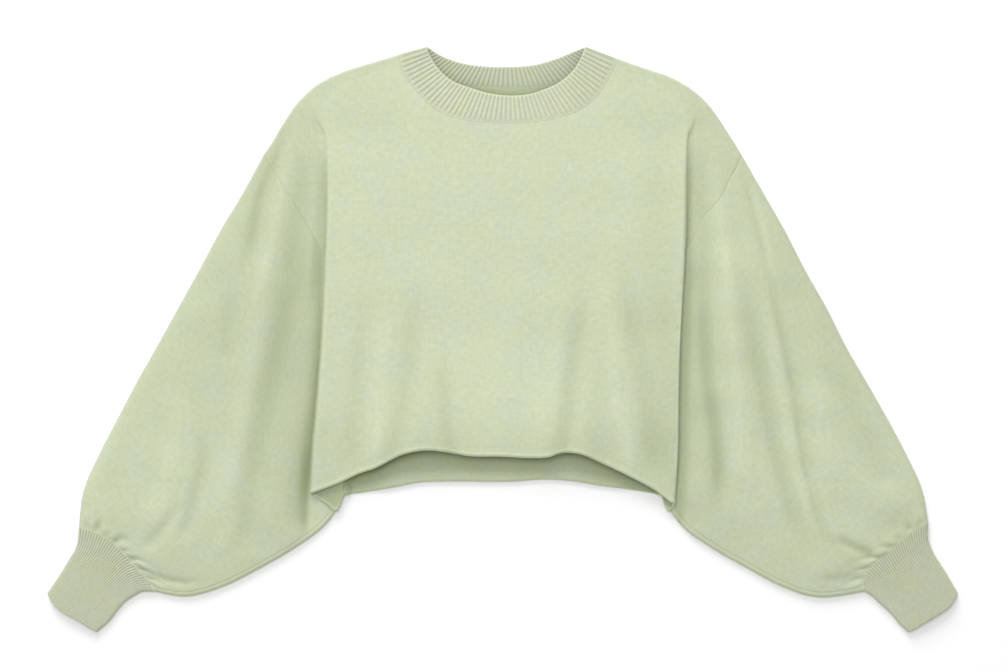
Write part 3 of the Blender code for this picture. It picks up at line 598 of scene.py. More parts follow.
def makeFront(material):
    top = front["topShare"]
    share = np.concatenate((np.linspace(0.03, 0.9, 27),
                            (0.925, 0.945, 0.96, 0.972, 0.982, 0.99, 0.996, 1)))
    flank = top + (1 - top) * share
    columns = np.concatenate((-flank[::-1], np.linspace(-top, top, 167), flank))
    rows = panelRows(front["closeRows"], front["length"], front["evenRows"])
    fraction = np.clip((abs(columns) - top) / (1 - top), 0, 1)
    isLeft, isFlank = columns < 0, abs(columns) > top
    foldHem = np.where(isLeft, *(readTable(flapHem, side, 0.0) for side in ("left", "right")))
    start = onSide(isLeft, readSections, foldHem, np.zeros_like(foldHem))[0]
    hem = np.where(isFlank, onSide(isLeft, lambda side, f: readTable(flapHem, side, f), fraction),
                   readTable(frontHem, "height", start * columns / top))
    hem = hem + cloth["hemRound"]
    y = panelHeights(columns, rows, frontPlace, hem, neckEdge(frontNeckSeam, cloth["seamClear"]))
    x, z = frontPlace(columns, y)
    z = atShoulderEdge(x, y, z, front["shoulderZ"])
    face = np.stack((x, y, z), axis=-1)
    normals = smoothed(gridNormals(face, False, 1), 2, False)
    # the rolled edge, the turned hem's line and the armhole seam
    fromHem = lengthsAlong(face, 0)
    rolled = front["rollRise"] * bump(fromHem - front["rollAt"], front["rollWidth"])
    stitched = front["hemLineDepth"] * bump(fromHem - front["hemLine"], front["hemLineWidth"])
    outward = abs(x)
    fromArmhole = outwardEdge(x, y) - outward
    sewn = cloth["seamDip"] * bump(fromArmhole, cloth["seamWidth"]) * ease((y - 95) / 10)
    sewn = sewn * onSide(x < 0, seamShown, y) * (y < outline["shoulderPoint"])
    rolledInside = rolled * np.where(isFlank, front["flapRollInside"], front["rollInside"])
    outer, inner = walled(face, normals, rolled - stitched - sewn, cloth["wall"], rolledInside)
    # painted shade: beside the side folds, on the flanks, in the folds' troughs, towards the hem
    # and over the shoulders; inside, more of it in the flaps
    folded = onSide(x < 0, lambda side, height: readTable(frontForm, side + "Fold", height), y)
    beside = bump(np.clip(outward - folded - 2, 0, None), front["foldShade"]) * (isFlank & (y > 60))
    sunk = np.clip((readTable(frontForm, "foldZ", y) - z) / 7, 0, 1)
    creaseShade = onSide(x < 0, shoulderRelief, outward, y)[1] * ease((outward - folded - 4) / 6)
    flankShade = front["flankShade"] * (1 - 0.6 * ease((y - 195) / 45))
    paintedShade = front["besideShade"] * beside * sunk * (1 - ease((y - 175) / 60))
    paintedShade = paintedShade + flankShade * ease((outward - folded) / 10)
    paintedShade = paintedShade + front["troughShade"] * np.where(isFlank, creaseShade * ease((y - 85) / 15),
                                                      foldRelief(frontFolds, x, y)[1])
    paintedShade = paintedShade + front["lowShade"] * ease((-40 - y) / 90)
    paintedShade = paintedShade + front["shoulderShade"] * ease((y - 205) / 40) * ease((outward - 90) / 60)
    inside = front["insideShade"] + front["flapInsideShade"] * isFlank * ease(fromHem / 5)
    across = centredLengths(face[..., ::2], len(columns) // 2)
    return makeSheet("front", outer, inner, across, y, False, 1,
                     edgeRounds("hemRound", "seamRound"), (np.clip(paintedShade, 0, 1), inside), material)


# The back lies on the table. Its inner side shows at the neck and below the front's hem.
back = {
    "shoulderZ": 2.25,
    "turnUp": 9.0,             # the side seams lift off the table over this width
    "hemLine": 8.8,            # ridge where the turned hem ends on the inner side
    "hemLineRise": 0.45,
    "hemLineWidth": 1.0,
    "rollRise": 0.5,           # the rolled edge along the hem
    "hemCurl": 2.4,            # the hem curls up off the table
    "curlReach": 24.0,
    "curlEnds": (150.0, 25.0), # outward distance where the curl has died out, and over what width
    "unevenness": 0.3,
    "unevenSize": 50.0,
    "insideShade": 0.1,        # painted shade inside the body, and more of it under the front's hem
    "hemShade": 0.68,
    "hemReach": 17.0,
    "narrowShade": 0.3,        # more painted shade still where the hem lies low on the left
    "narrowAt": -140.0,
    "narrowWidth": 45.0,
    "neckShade": 0.6,
    "neckReach": 11.0,
    "neckInside": 1.05,        # how much of the painted neck shade the back itself shows
    "closeRows": (0, 0.8, 1.6, 2.4, 3.3, 4.4, 5.8, 7, 7.8, 8.6, 9.4, 10.4, 12),    # from the hem
    "evenRows": (36, 56, 30),  # up to the underarm, the shoulder point and the neck
    "length": 450.0,
    "cut": (0.527, 0.485),
    "cutArea": 0.184,
}
backHem = makeTable(
    "across height",
    (-175, -171), (-146, -167), (-119, -162), (-93, -157), (-66, -155.7), (13, -155.7),
    (46, -153.5), (79, -155.7), (105, -160), (131, -163.5), (158, -168), (175, -171))


def underBand(x, y):
    # painted shade in the neck, darkest at the front band's edge
    edge = readLine(makeLine(*frontOpening), np.linspace(0, 1, 60))
    return back["neckShade"] * np.exp(-offLine(x, y, edge)[0] / back["neckReach"]) * (y > 240)


def backPlace(column, height):
    column, height = np.broadcast_arrays(column, height)
    clear = cloth["seamClear"] * (1 - ease((height - outline["shoulderPoint"]) / 8))
    x = column * (outwardEdge(column, height) - clear)
    seamShare = 1 - ease((outline["sideSeam"] - abs(x)) / back["turnUp"])
    level = cloth["layers"] + cloth["seamGap"]
    return x, level * seamShare * ease((-height - 4) / 12)


def makeBack(material):
    side = np.array((0.90, 0.92, 0.935, 0.95, 0.96, 0.97, 0.98, 0.986, 0.991, 0.995, 0.998, 1))
    columns = np.concatenate((-side[::-1], np.linspace(-0.88, 0.88, 109), side))
    rows = panelRows(back["closeRows"], back["length"], back["evenRows"])
    hem = readTable(backHem, "height", columns * outline["sideSeam"]) + cloth["hemRound"]
    y = panelHeights(columns, rows, backPlace, hem, neckEdge(backNeckSeam, cloth["seamClear"]))
    x, z = backPlace(columns, y)
    curlEnd, curlFade = back["curlEnds"]
    curl = (1 - ease((y - hem) / back["curlReach"])) ** 2 * ease((curlEnd - abs(x)) / curlFade)
    z = atShoulderEdge(x, y, z + back["hemCurl"] * curl, back["shoulderZ"])
    face = np.stack((x, y, z), axis=-1)
    normals = smoothed(gridNormals(face, False, -1), 2, False)
    # relief of the inner side: the turned hem's line, the rolled edge and a gentle unevenness
    fromHem = lengthsAlong(face, 0)
    ridge = back["hemLineRise"] * bump(fromHem - back["hemLine"], back["hemLineWidth"])
    rolled = back["rollRise"] * bump(fromHem - front["rollAt"], front["rollWidth"])
    uneven = back["unevenness"] * (1 + undulation(x, y, back["unevenSize"], 9))
    outer, inner = walled(face, normals, 0.0, cloth["wall"],
                          ridge + rolled + uneven * ease(fromHem / 12))
    # painted shade on the inner side: under the front's hem, boosted on the left, and in the neck
    hemShadeBoost = 1 + back["narrowShade"] * bump(x - back["narrowAt"], back["narrowWidth"])
    underHem = np.clip(readTable(frontHem, "height", x) - y, 0, None)
    underHem = back["hemShade"] * hemShadeBoost * np.exp(-underHem / back["hemReach"])
    inside = back["insideShade"] + back["neckInside"] * underBand(x, y) + underHem * (y < 0)
    across = centredLengths(face[..., ::2], len(columns) // 2)
    return makeSheet("back", outer, inner, across, y, False, -1,
                     edgeRounds("hemRound", "seamRound"), (0, inside), material)


# The four plan lines of each flattened cuff, outward and Y.
cuffLines = {
    "left": {
        "seam": makeLine((466, -206.3), (441.7, -215), (421, -230.5), (407.5, -246.5),
                         (390, -265), (382.3, -277.8)),
        "outer": makeLine((466, -206.3), (468, -226), (477, -242.6), (487, -259), (500.5, -279)),
        "inner": makeLine((382.3, -277.8), (396.6, -277.5), (405.4, -282.2), (414.2, -288),
                          (423, -297.6), (431.8, -309), (446, -322)),
        "end": makeLine((500.5, -279), (493.4, -291), (484.6, -298.7), (467, -308.6), (446, -322)),
    },
    "right": {
        "seam": makeLine((468, -200.8), (449.4, -211.8), (435, -224), (424, -235), (409.8, -246),
                         (399.5, -258), (397.7, -277.8)),
        "outer": makeLine((468, -200.8), (467.5, -218.4), (471, -229), (485.7, -253.6),
                          (500.5, -279)),
        "inner": makeLine((397.7, -277.8), (404.3, -281), (415.3, -291), (426.3, -300.9),
                          (437.3, -314), (446, -322)),
        "end": makeLine((500.5, -279), (492.3, -292), (470.3, -307.5), (459.3, -314), (446, -322)),
    },
}
cuff = {
    "ribs": 34,                # on each side of the flattened cuff
    "ribRise": 0.55,
    "underRise": 0.4,          # the ribs are flatter underneath
    "endRise": 0.6,            # share of the ribs' height towards the open end, and right at it
    "edgeRise": 0.35,
    "innerRise": 0.25,         # and at the inner folded edge, over innerReach
    "innerReach": 26.0,
    # painted shade all over the cuff
    "shade": 0.13,
    "ribShade": 0.62,          # painted shade between two ribs
    "insideShade": 0.3,
    "loft": 3.5,
    "rise": 25.0,
    "scallop": 1.4,            # the seam bows up into the sleeve between the gathers
    "scallops": 9,
    "columnsPerRib": 6,
    "length": 87.0,
    "cut": (0.200, 0.087),
    "cutArea": 0.0148,
}
cuffAxis = np.array((-0.6, 0.8))       # from a cuff towards its sleeve
tubeTurn = cloth["foldRadius"] * (1 - np.cos(np.linspace(0, math.pi / 2, 7)[:-1]))


def tubeLevel(fromOuter, fromInner):
    # upper face of a flattened tube with folded edges
    edge = quarter(fromOuter / cloth["foldRadius"]) * quarter(fromInner / cloth["foldRadius"])
    return cloth["foldRadius"] * (1 + edge)


def tubeFloor(fromOuter, fromInner):
    return 2 * cloth["foldRadius"] - tubeLevel(fromOuter, fromInner)


def tubeShares(outerSpan, innerSpan, inside, close=()):
    # shares across a tube's upper side on every row: close at the folded edges, even between,
    # with more columns at the close distances from the inner edge
    outerSpan, innerSpan = outerSpan[:, None], innerSpan[:, None]
    first = tubeTurn / outerSpan
    last = 1 - tubeTurn[::-1] / innerSpan
    near = 1 - np.array(close)[::-1] / innerSpan
    low = cloth["foldRadius"] / outerSpan
    high = 1 - max(close, default=cloth["foldRadius"]) / innerSpan
    even = mix(low, high, np.linspace(0, 1, inside + 1))
    return np.hstack((first, even[:, :-1] if close else even, near, last))


def scallop(share):
    # how far the cuff's seam bows up into the sleeve between its gathers
    return cuff["scallop"] * (0.5 - abs(np.sin(math.pi * share * cuff["scallops"])))


def makeCuff(side, material):
    lines, sign = cuffLines[side], -1 if side == "left" else 1
    rows = np.concatenate((np.array((0.02, 0.4, 0.9, 1.6, 2.4, 3.3, 4.4)) / cuff["length"],
                           np.linspace(0.065, 0.93, 26),
                           1 - np.array((4.6, 3.6, 2.7, 1.9, 1.1)) / cuff["length"]))
    outerLine, innerLine = readLine(lines["outer"], rows), readLine(lines["inner"], rows)
    width = np.linalg.norm(innerLine - outerLine, axis=1)
    share = tubeShares(width, width, cuff["ribs"] * cuff["columnsPerRib"])
    share = np.hstack((share, share[:, -2:0:-1]))
    upper = np.arange(share.shape[1]) < (share.shape[1] + 2) // 2
    row = rows[:, None, None]
    place = mix(outerLine[:, None], innerLine[:, None], share[..., None])
    for name, weight in (("seam", 1 - row), ("end", row)):
        line = lines[name]
        straight = mix(readLine(line, 0.0), readLine(line, 1.0), share[..., None])
        place = place + (readLine(line, share) - straight) * weight
    bowed = scallop(share) * (1 - ease(rows / 0.12))[:, None]
    place = place + bowed[..., None] * cuffAxis
    fromOuter, fromInner = share * width[:, None], (1 - share) * width[:, None]
    dome = quarter(fromOuter / cuff["rise"]) * quarter(fromInner / cuff["rise"])
    z = np.where(upper, tubeLevel(fromOuter, fromInner) + cuff["loft"] * dome,
                 tubeFloor(fromOuter, fromInner))
    face = np.stack((sign * place[..., 0], place[..., 1], z), axis=-1)
    rib = (0.5 - 0.5 * np.cos(2 * math.pi * share * cuff["ribs"])) ** 0.8
    fade = mix(1.0, cuff["endRise"], ease(rows / 0.6))
    fade = fade * mix(cuff["edgeRise"], 1.0, ease((1 - rows) / 0.04))
    fade = fade[:, None] * mix(cuff["innerRise"], 1, ease(fromInner / cuff["innerReach"]))
    raised = np.where(upper, rib * cuff["ribRise"], (rib - 1) * cuff["underRise"]) * fade
    outer, inner = walled(face, gridNormals(face, True, sign), raised, cloth["wall"])
    # painted shade, darker between the ribs
    paintedShade = cuff["shade"] + cuff["ribShade"] * (1 - rib) ** 2 * fade
    return makeSheet("cuff_" + side + "_rib", outer, inner, lengthsAlong(face, 1, True),
                     lengthsAlong(face, 0, True), True, sign, edgeRounds("seamRound", "hemRound"),
                     (paintedShade, cuff["insideShade"]), material)


# A balloon sleeve lies as a flattened tube from the armhole to the cuff.
sleeve = {
    "armholeFade": 0.4,        # share of the sleeve over which the armhole's curve dies out
    "cuffFade": 0.22,
    "coverRise": 45.0,         # the sleeve rises over this width beside the body
    "coverClear": 2.0,
    "coverEnd": -225.0,
    "coverFade": 29.0,
    "blend": 100.0,            # and takes this long to reach its full form there
    "quiet": 25.0,             # folds die out over this width along the edges
    "puff": 1.2,               # the cloth stands up between the gathers, over puffReach
    "puffReach": 34.0,
    "unevenness": 0.45,
    "unevenSize": 55.0,
    "seamFrom": {"left": 4.8, "right": 5.3},   # underarm seam's distance from the folded edge
    "seamDip": 0.35,
    "seamWidth": 0.9,
    "shade": {"left": 0.19, "right": 0.16},    # painted shade all over the sleeve, where the turned yarn looks a little darker
    "lowShade": 0.05,          # less so near the cuffs
    "besideReach": 6.5,        # and painted darker still this far beside the body
    "wideReach": 22.0,         # with a fainter part that reaches further
    "wideShade": 0.35,
    "nearMost": 0.52,          # at most so dark there
    "gatherShade": 0.07,       # painted shade for each millimetre that a gather sinks, up to gatherMost
    "gatherMost": 3.0,
    "seamShade": 0.1,
    "insideShade": 0.3,
    "length": 450.0,
    "cut": (0.50, 0.46),
    "cutArea": 0.188,
}
# the two folded edges from the armhole to the cuff, how high the sleeve puffs, and over what width
sleeveForms = {
    "left": makeTable(
        "station outerX outerY innerX innerY loft rise",
        (0, 262.5, 203, 174.4, -2.75, 0, 60), (0.1, 285.5, 161, 177.1, -50, 5, 65),
        (0.2, 309.7, 120.5, 177.1, -94, 10, 70), (0.3, 332.8, 77.6, 177.1, -138, 11, 75),
        (0.4, 355.9, 35.8, 178.8, -177, 12, 75), (0.5, 379, -6, 195.3, -204, 12, 75),
        (0.6, 402, -46.8, 227.2, -228.3, 11.5, 75), (0.7, 424, -88.6, 266.8, -251.4, 11, 70),
        (0.8, 443.9, -127, 306.4, -271.2, 10, 60), (0.9, 460.4, -165.6, 346, -282.2, 8, 45),
        (1, 466, -206.3, 382.3, -277.8, 3.5, 25)),
    "right": makeTable(
        "station outerX outerY innerX innerY loft rise",
        (0, 262.5, 203, 174.4, -2.75, 0, 60), (0.1, 286.6, 161, 177.1, -50, 5, 65),
        (0.2, 309.7, 120.5, 177.1, -94, 10, 70), (0.3, 331.7, 77.6, 177.1, -138, 11, 75),
        (0.4, 355.4, 35.8, 178.2, -175, 12, 75), (0.5, 376.4, -6, 197.5, -205.2, 12, 75),
        (0.6, 399.9, -46.8, 228.3, -228.3, 11.5, 75), (0.7, 423.7, -88.6, 266.8, -250.3, 11, 70),
        (0.8, 443.9, -127, 306.4, -271.2, 10, 60), (0.9, 460.4, -163.4, 347, -283.3, 8, 45),
        (1, 468, -200.8, 397.7, -277.8, 3.5, 25)),
}
# soft folds of the sleeves, with their painted shade; those of depth 0 are bands of painted shade
# alone
sleeveFolds = {
    "left": [
        fold(-3.0, 13, (220, 150), (229, 92), (238, 36), (248, -18), (259, -72), (270, -127),
             (278, -176), (294, -250), shade=3.8),
        fold(1.2, 12, (256, 120), (266, 30), (280, -60), (298, -150), (318, -215)),
        fold(0, 14, (226, 120), (230, 40), (238, -30), (249, -100), (258, -190), shade=1.8),
        fold(0, 26, (385, 30), (410, -50), (432, -120), (452, -190), shade=1.8),
        fold(-1.0, 8, (250, 200), (266, 162), (277, 115), (287, 60)),
        fold(-1.5, 9, (296, 60), (300, 20), (302, -30)),
        fold(-2.4, 8, (332, -85), (327, -130), (338, -180), (352, -226)),
        fold(1.4, 12, (352, -40), (356, -110), (372, -170), (392, -215)),
        fold(-2.0, 4.5, (318, -266), (345, -268), (372, -264), (398, -254), (412, -244)),
        fold(1.0, 10, (270, -150), (290, -200), (316, -240)),
        fold(-1.5, 7, (350, -172), (370, -205), (396, -232)),
    ],
    "right": [
        fold(-3.6, 8, (220, 110), (221, 60), (222, 20), (226, -45), (236, -110), (240, -190),
             shade=4.6),
        fold(1.7, 10, (238, 150), (250, 30), (262, -90), (268, -180)),
        fold(0, 13, (220, -40), (225, -90), (230, -140), (236, -200), shade=2.4),
        fold(-3.3, 9, (262, 100), (272, 30), (280, -20), (290, -70), (300, -120), (312, -165),
             (328, -215), (346, -246), shade=3.0),
        fold(1.8, 9, (284, 70), (300, -20), (312, -90), (326, -150), (346, -210)),
        fold(-2.6, 5.5, (262, 190), (276, 130), (290, 80), (303, 30), (314, -20), (324, -70),
             (332, -130), (344, -180), (358, -222), (376, -246), (394, -256), shade=2.2),
        fold(1.6, 14, (330, 10), (352, -90), (366, -160)),
        fold(-1.6, 14, (356, -30), (396, -92), (410, -130), (424, -170)),
        fold(-2.6, 6, (360, -216), (385, -229), (410, -240)),
        fold(-1.3, 6, (340, -262), (372, -264), (396, -258)),
    ],
}
# how strong the painted shade in the dip between the body and a sleeve is
sleeveShade = makeTable(
    "height left right",
    (-330, 0, 0), (-215, 0.1, 0.1), (-185, 1.0, 0.5), (-150, 1.5, 0.7), (-110, 1.0, 0.75),
    (-80, 0.5, 0.7), (-20, 0.35, 0.75), (40, 0.32, 0.55), (90, 0.3, 0.25), (130, 0.1, 0),
    (400, 0, 0))
# Creases where the sleeve is drawn into the cuff: share across, depth and half width in
# millimetres, reach up the sleeve and lean towards the inner side.
gathers = {
    "left": foldRows(
        "share depth width reach lean",
        (0.08, 1.8, 2.2, 18, -1), (0.18, 3.2, 2.6, 30, 2), (0.28, 1.6, 2.4, 18, 3),
        (0.39, 3.4, 3.0, 40, 9), (0.50, 1.8, 2.6, 22, 6), (0.60, 2.8, 2.8, 36, 14),
        (0.72, 1.6, 2.4, 26, 10), (0.84, 1.8, 2.4, 30, 12)),
    "right": foldRows(
        "share depth width reach lean",
        (0.08, 1.8, 2.2, 18, 1), (0.20, 2.6, 2.6, 26, 2), (0.33, 1.6, 2.4, 18, 3),
        (0.45, 2.6, 2.8, 28, 6), (0.60, 2.4, 2.8, 36, 12), (0.74, 1.6, 2.6, 26, 8),
        (0.86, 1.8, 2.4, 30, 10)),
}


def gathered(side, aside, toCuff, span):
    # how far the gathers sink the sleeve
    sunk = np.zeros(aside.shape)
    for crease in gathers[side]:
        line = crease["share"] * span + crease["lean"] * (toCuff / crease["reach"]) ** 2
        width = crease["width"] * (1 + toCuff / 30)
        dies = 1 - ease(toCuff / crease["reach"])
        sunk = sunk + crease["depth"] * bump(aside - line, width) * dies
    return sunk


def sleeveArm(side):
    # the armhole as a line from the shoulder down, and the shares of its length
    heights = np.linspace(outline["shoulderPoint"], outline["underarm"], 160)
    line = np.column_stack((readTable(armhole, side, heights), heights))
    steps = np.hypot(*np.diff(line, axis=0).T)
    return line, np.concatenate(([0.0], np.cumsum(steps) / steps.sum()))


def sleevePlan(side, share, row):
    share, row = np.broadcast_arrays(share, row)
    form, (line, shares), seam = sleeveForms[side], sleeveArm(side), cuffLines[side]["seam"]
    wide, tall = share[..., None], row[..., None]
    outer, inner = (np.stack([readTable(form, edge + axis, row) for axis in "XY"], axis=-1)
                    for edge in ("outer", "inner"))
    start = np.stack([np.interp(share, shares, part) for part in line.T], axis=-1)
    first = start - mix(line[0], line[-1], wide)
    last = readLine(seam, share) - mix(readLine(seam, 0.0), readLine(seam, 1.0), wide)
    place = mix(outer, inner, wide) + first * (1 - ease(tall / sleeve["armholeFade"]))
    place = place + last * ease((tall - 1 + sleeve["cuffFade"]) / sleeve["cuffFade"])
    place = place + (scallop(share) * ease((row - 0.97) / 0.03))[..., None] * cuffAxis
    clear = cloth["seamClear"] * (1 - ease(row / 0.05))
    return place + np.stack((clear, np.zeros_like(row)), axis=-1)


def sleeveSpan(side, edge, rows):
    # distance across the sleeve, square to one folded edge, from a small step inwards
    step, along = 0.01, 0.001
    inward = sleevePlan(side, mix(edge, 0.5, step), rows) - sleevePlan(side, edge, rows)
    run = sleevePlan(side, edge, rows + along) - sleevePlan(side, edge, rows - along)
    square = abs(inward[:, 0] * run[:, 1] - inward[:, 1] * run[:, 0]) / np.linalg.norm(run, axis=1)
    return square / (0.5 * step)


def sleeveLevel(side, row, out, y, fromOuter, fromInner, span):
    # height of the upper side, how far the gathers sink it, and the painted shade of its folds
    loft, rise = (readTable(sleeveForms[side], name, row) for name in ("loft", "rise"))
    fromFold = out - readTable(frontForm, side + "Fold", y)
    beside = quarter((fromFold - sleeve["coverClear"]) / sleeve["coverRise"])
    covered = ease((y - sleeve["coverEnd"]) / sleeve["coverFade"])
    blended = ease((y - sleeve["coverEnd"] + 10) / sleeve["blend"])
    foot = mix(quarter(fromInner / (1.3 * rise)), ease(fromInner / (1.3 * rise)), 0.5)
    dome = quarter(fromOuter / rise) * mix(foot, beside, blended)
    dome = dome * mix(1, beside, covered * (1 - blended))
    toCuff = (1 - row) * sleeve["length"]
    quiet = ease(row / 0.08) * ease(fromOuter / sleeve["quiet"]) * ease(toCuff / 10)
    quiet = quiet * mix(ease(fromInner / sleeve["quiet"]), ease((fromFold - 2) / 8), covered)
    folds, creaseShade = foldRelief(sleeveFolds[side], out, y)
    seed = 6 if side == "left" else 8
    relief = folds + sleeve["unevenness"] * undulation(out, y, sleeve["unevenSize"], seed)
    level = tubeLevel(fromOuter, fromInner) + loft * dome + relief * quiet
    shoulders, shoulderShade = shoulderRelief(side, out, y)
    level = level + shoulders * ease((fromFold - 4) / 10) * ease((fromOuter - 2) / 12)
    sunk = gathered(side, fromOuter, toCuff, span) * ease(fromOuter / 5) * ease(fromInner / 5)
    puffed = sleeve["puff"] * (1 - ease(toCuff / sleeve["puffReach"])) * ease(toCuff / 10)
    puffed = puffed * ease(fromOuter / 8) * ease(fromInner / 8)
    level = level + puffed - sunk * (0.12 + 0.88 * ease(toCuff / 9))
    return level, sunk, creaseShade * quiet + shoulderShade, covered, fromFold


def makeSleeve(side, material):
    sign = -1 if side == "left" else 1
    rows = np.concatenate((
        (0, 0.0006, 0.0012, 0.002, 0.003, 0.0045, 0.006, 0.009, 0.013, 0.018, 0.024),
        np.linspace(0.03, 0.88, 132), np.linspace(0.885, 0.99, 40),
        (0.993, 0.9955, 0.9975, 0.999, 0.9996, 0.99996)))
    outerSpan, innerSpan = sleeveSpan(side, 0.0, rows), sleeveSpan(side, 1.0, rows)
    atSeam = (3.0, 3.7, 4.3, 4.8, 5.3, 5.8, 6.4, 7.1, 8.0, 9.2)    # close columns at the seam
    upperShare = tubeShares(outerSpan, innerSpan, 119, atSeam)
    lowerShare = tubeShares(outerSpan, innerSpan, 60)[:, -2:0:-1]
    share = np.hstack((upperShare, lowerShare))
    upper = np.arange(share.shape[1]) < upperShare.shape[1]
    row = np.broadcast_to(rows[:, None], share.shape)
    out, y = np.moveaxis(sleevePlan(side, share, row), -1, 0)
    fromOuter, fromInner = share * outerSpan[:, None], (1 - share) * innerSpan[:, None]
    level, sunk, creaseShade, covered, fromFold = sleeveLevel(side, row, out, y, fromOuter, fromInner,
                                                          outerSpan[:, None])
    z = np.where(upper, level, tubeFloor(fromOuter, fromInner))
    face = np.stack((sign * out, y, z), axis=-1)
    normals = smoothed(gridNormals(face, True, sign), 1, True)
    sewn = cloth["seamDip"] * bump(row * sleeve["length"], cloth["seamWidth"])
    sewn = sewn * ease((fromFold - 2) / 6) * seamShown(side, y)
    underarm = bump(fromInner - sleeve["seamFrom"][side], sleeve["seamWidth"])
    underarm = underarm * ease((row - 0.3) / 0.05)    # it turns underneath near the armhole
    outer, inner = walled(face, normals, -(sewn + sleeve["seamDip"] * underarm) * upper,
                          cloth["wall"])
    # painted shade: dark close beside the body, with a fainter part that reaches further; more in
    # the gathers, along the underarm seam and in the folds, and a little all over
    strength = readTable(sleeveShade, side, y)
    near = bump(np.clip(fromFold - 3, 0, None), sleeve["besideReach"]) * ease((fromFold + 3) / 3)
    far = bump(np.clip(fromFold - 1, 0, None), sleeve["wideReach"]) * (fromFold > 0)
    near = near + sleeve["wideShade"] * far
    most = sleeve["nearMost"] * np.maximum(strength, 1)
    near = most * np.tanh(near * strength * covered / most) * mix(0.25, 1, ease(fromFold / 6))
    shade = (near + sleeve["gatherShade"] * np.clip(sunk, 0, sleeve["gatherMost"])
             + sleeve["seamShade"] * underarm + front["troughShade"] * creaseShade)
    plain = mix(sleeve["shade"][side], sleeve["lowShade"], ease((20 - y) / 200))
    paintedShade = np.clip(plain + shade * upper, 0, 1)
    across = centredLengths(face, upperShare.shape[1] // 2, True)
    return makeSheet("sleeve_" + side + "_knit", outer, inner, across,
                     lengthsAlong(face, 0, True), True, sign, edgeRounds("seamRound", "seamRound"),
                     (paintedShade, sleeve["insideShade"]), material)


# The neckband is one ring: its front half lies over the front, its back half on the table.
neckband = {
    "frontRibs": 52,
    "backRibs": 43,
    "columnsPerRib": 10,
    "ribFrom": 0.014,          # share of each half that is plain at the shoulder
    "ribRise": 0.75,
    "groove": 0.18,            # half width of the groove between ribs, in ribs
    "grooveShade": 0.34,
    "sideShade": 0.07,         # painted shade towards the shoulders
    "insideShade": 0.12,
    "neckInside": 0.75,        # how much of the painted neck shade the band itself shows
    "width": 33.0,
    "cut": (0.58, 0.033),
    "cutArea": 0.0175,
}


def bandHalf(name, ribs, rows):
    # shares and rib heights along one half of the band, closer where it turns over the shoulder
    seam = {"front": frontNeckSeam, "back": backNeckSeam}[name]
    opening = {"front": frontOpening, "back": backOpening}[name]
    turn, plain = np.array((0, 0.002, 0.005, 0.009)), np.zeros(4)
    start = neckband["ribFrom"]
    ribShare = np.linspace(start, 1 - start, ribs * neckband["columnsPerRib"] + 1)
    share = np.concatenate((turn, ribShare, 1 - turn[::-1]))
    place = (ribShare - start) / (1 - 2 * start) * ribs
    groove = bump(abs(place - np.round(place)), neckband["groove"])
    rib = np.concatenate((plain, 1 - groove, plain))
    plan = mix(readLine(makeLine(*seam), share)[None], readLine(makeLine(*opening), share)[None],
               rows[:, None, None])
    return plan, rib


def makeNeckband(material):
    rows = np.concatenate((np.array((0.02, 0.4, 0.9, 1.6, 2.4, 3.4)) / neckband["width"],
                           np.linspace(0.14, 0.86, 15),
                           1 - np.array((3.6, 2.8, 2.1, 1.5, 1.1)) / neckband["width"]))
    frontPlan, frontRib = bandHalf("front", neckband["frontRibs"], rows)
    backPlan, backRib = bandHalf("back", neckband["backRibs"], rows)
    backPlan, backRib = backPlan[:, -2:0:-1], backRib[-2:0:-1]
    frontX, frontY = np.moveaxis(frontPlan, -1, 0)
    frontTurn, backTurn = (quarter(fromShoulder(plan[..., 0], plan[..., 1]) / cloth["foldRadius"])
                           for plan in (frontPlan, backPlan))
    frontZ = mix(cloth["foldRadius"], frontLevel(frontX, frontY), frontTurn)
    backZ = cloth["foldRadius"] * (1 - backTurn)
    face = np.hstack((np.dstack((frontPlan, frontZ)), np.dstack((backPlan, backZ))))
    fade = 0.12 + 0.88 * ease((rows - 0.01) / 0.16) * ease((1 - rows) / 0.08)
    fade = fade[:, None]
    # the front half shows its outer side and the back half its inner side
    isFront = slice(0, len(frontRib))
    isBack = slice(len(frontRib), None)
    raised, inside, paintedShade = np.zeros((3,) + face.shape[:2])
    raised[:, isFront] = frontRib * fade * neckband["ribRise"]
    inside[:, isBack] = backRib * fade * neckband["ribRise"]
    # painted shade in the grooves between ribs, towards the shoulders, and inside the neck
    paintedShade[:, isFront] = (1 - frontRib) * fade * neckband["grooveShade"]
    paintedShade[:, isFront] += neckband["sideShade"] * ease((abs(frontX) - 60) / 30)
    neckShade = neckband["neckInside"] * underBand(face[..., 0], face[..., 1])
    insidePaintedShade = neckShade + neckband["insideShade"]
    insidePaintedShade[:, isBack] += (1 - backRib) * fade * neckband["grooveShade"]
    outer, inner = walled(face, gridNormals(face, True, 1), raised, cloth["wall"], inside)
    return makeSheet("neckband_rib", outer, inner, lengthsAlong(face, 1, True),
                     lengthsAlong(face, 0, True), True, 1, edgeRounds("seamRound", "hemRound"),
                     (paintedShade, insidePaintedShade), material)


def linearColour(code):
    parts = [int(code[i:i + 2], 16) / 255 for i in (1, 3, 5)]
    return [p / 12.92 if p <= 0.04045 else ((p + 0.055) / 1.055) ** 2.4 for p in parts] + [1.0]


def addNode(tree, kind, inputs, **settings):
    # a shader node with its settings and inputs, each a socket or a fixed value; gives its outputs
    node = tree.nodes.new("ShaderNode" + kind)
    for name, value in settings.items():
        setattr(node, name, value)
    for socket, value in inputs.items():
        if isinstance(value, bpy.types.NodeSocket):
            tree.links.new(value, node.inputs[socket])
        else:
            node.inputs[socket].default_value = value
    return node.outputs


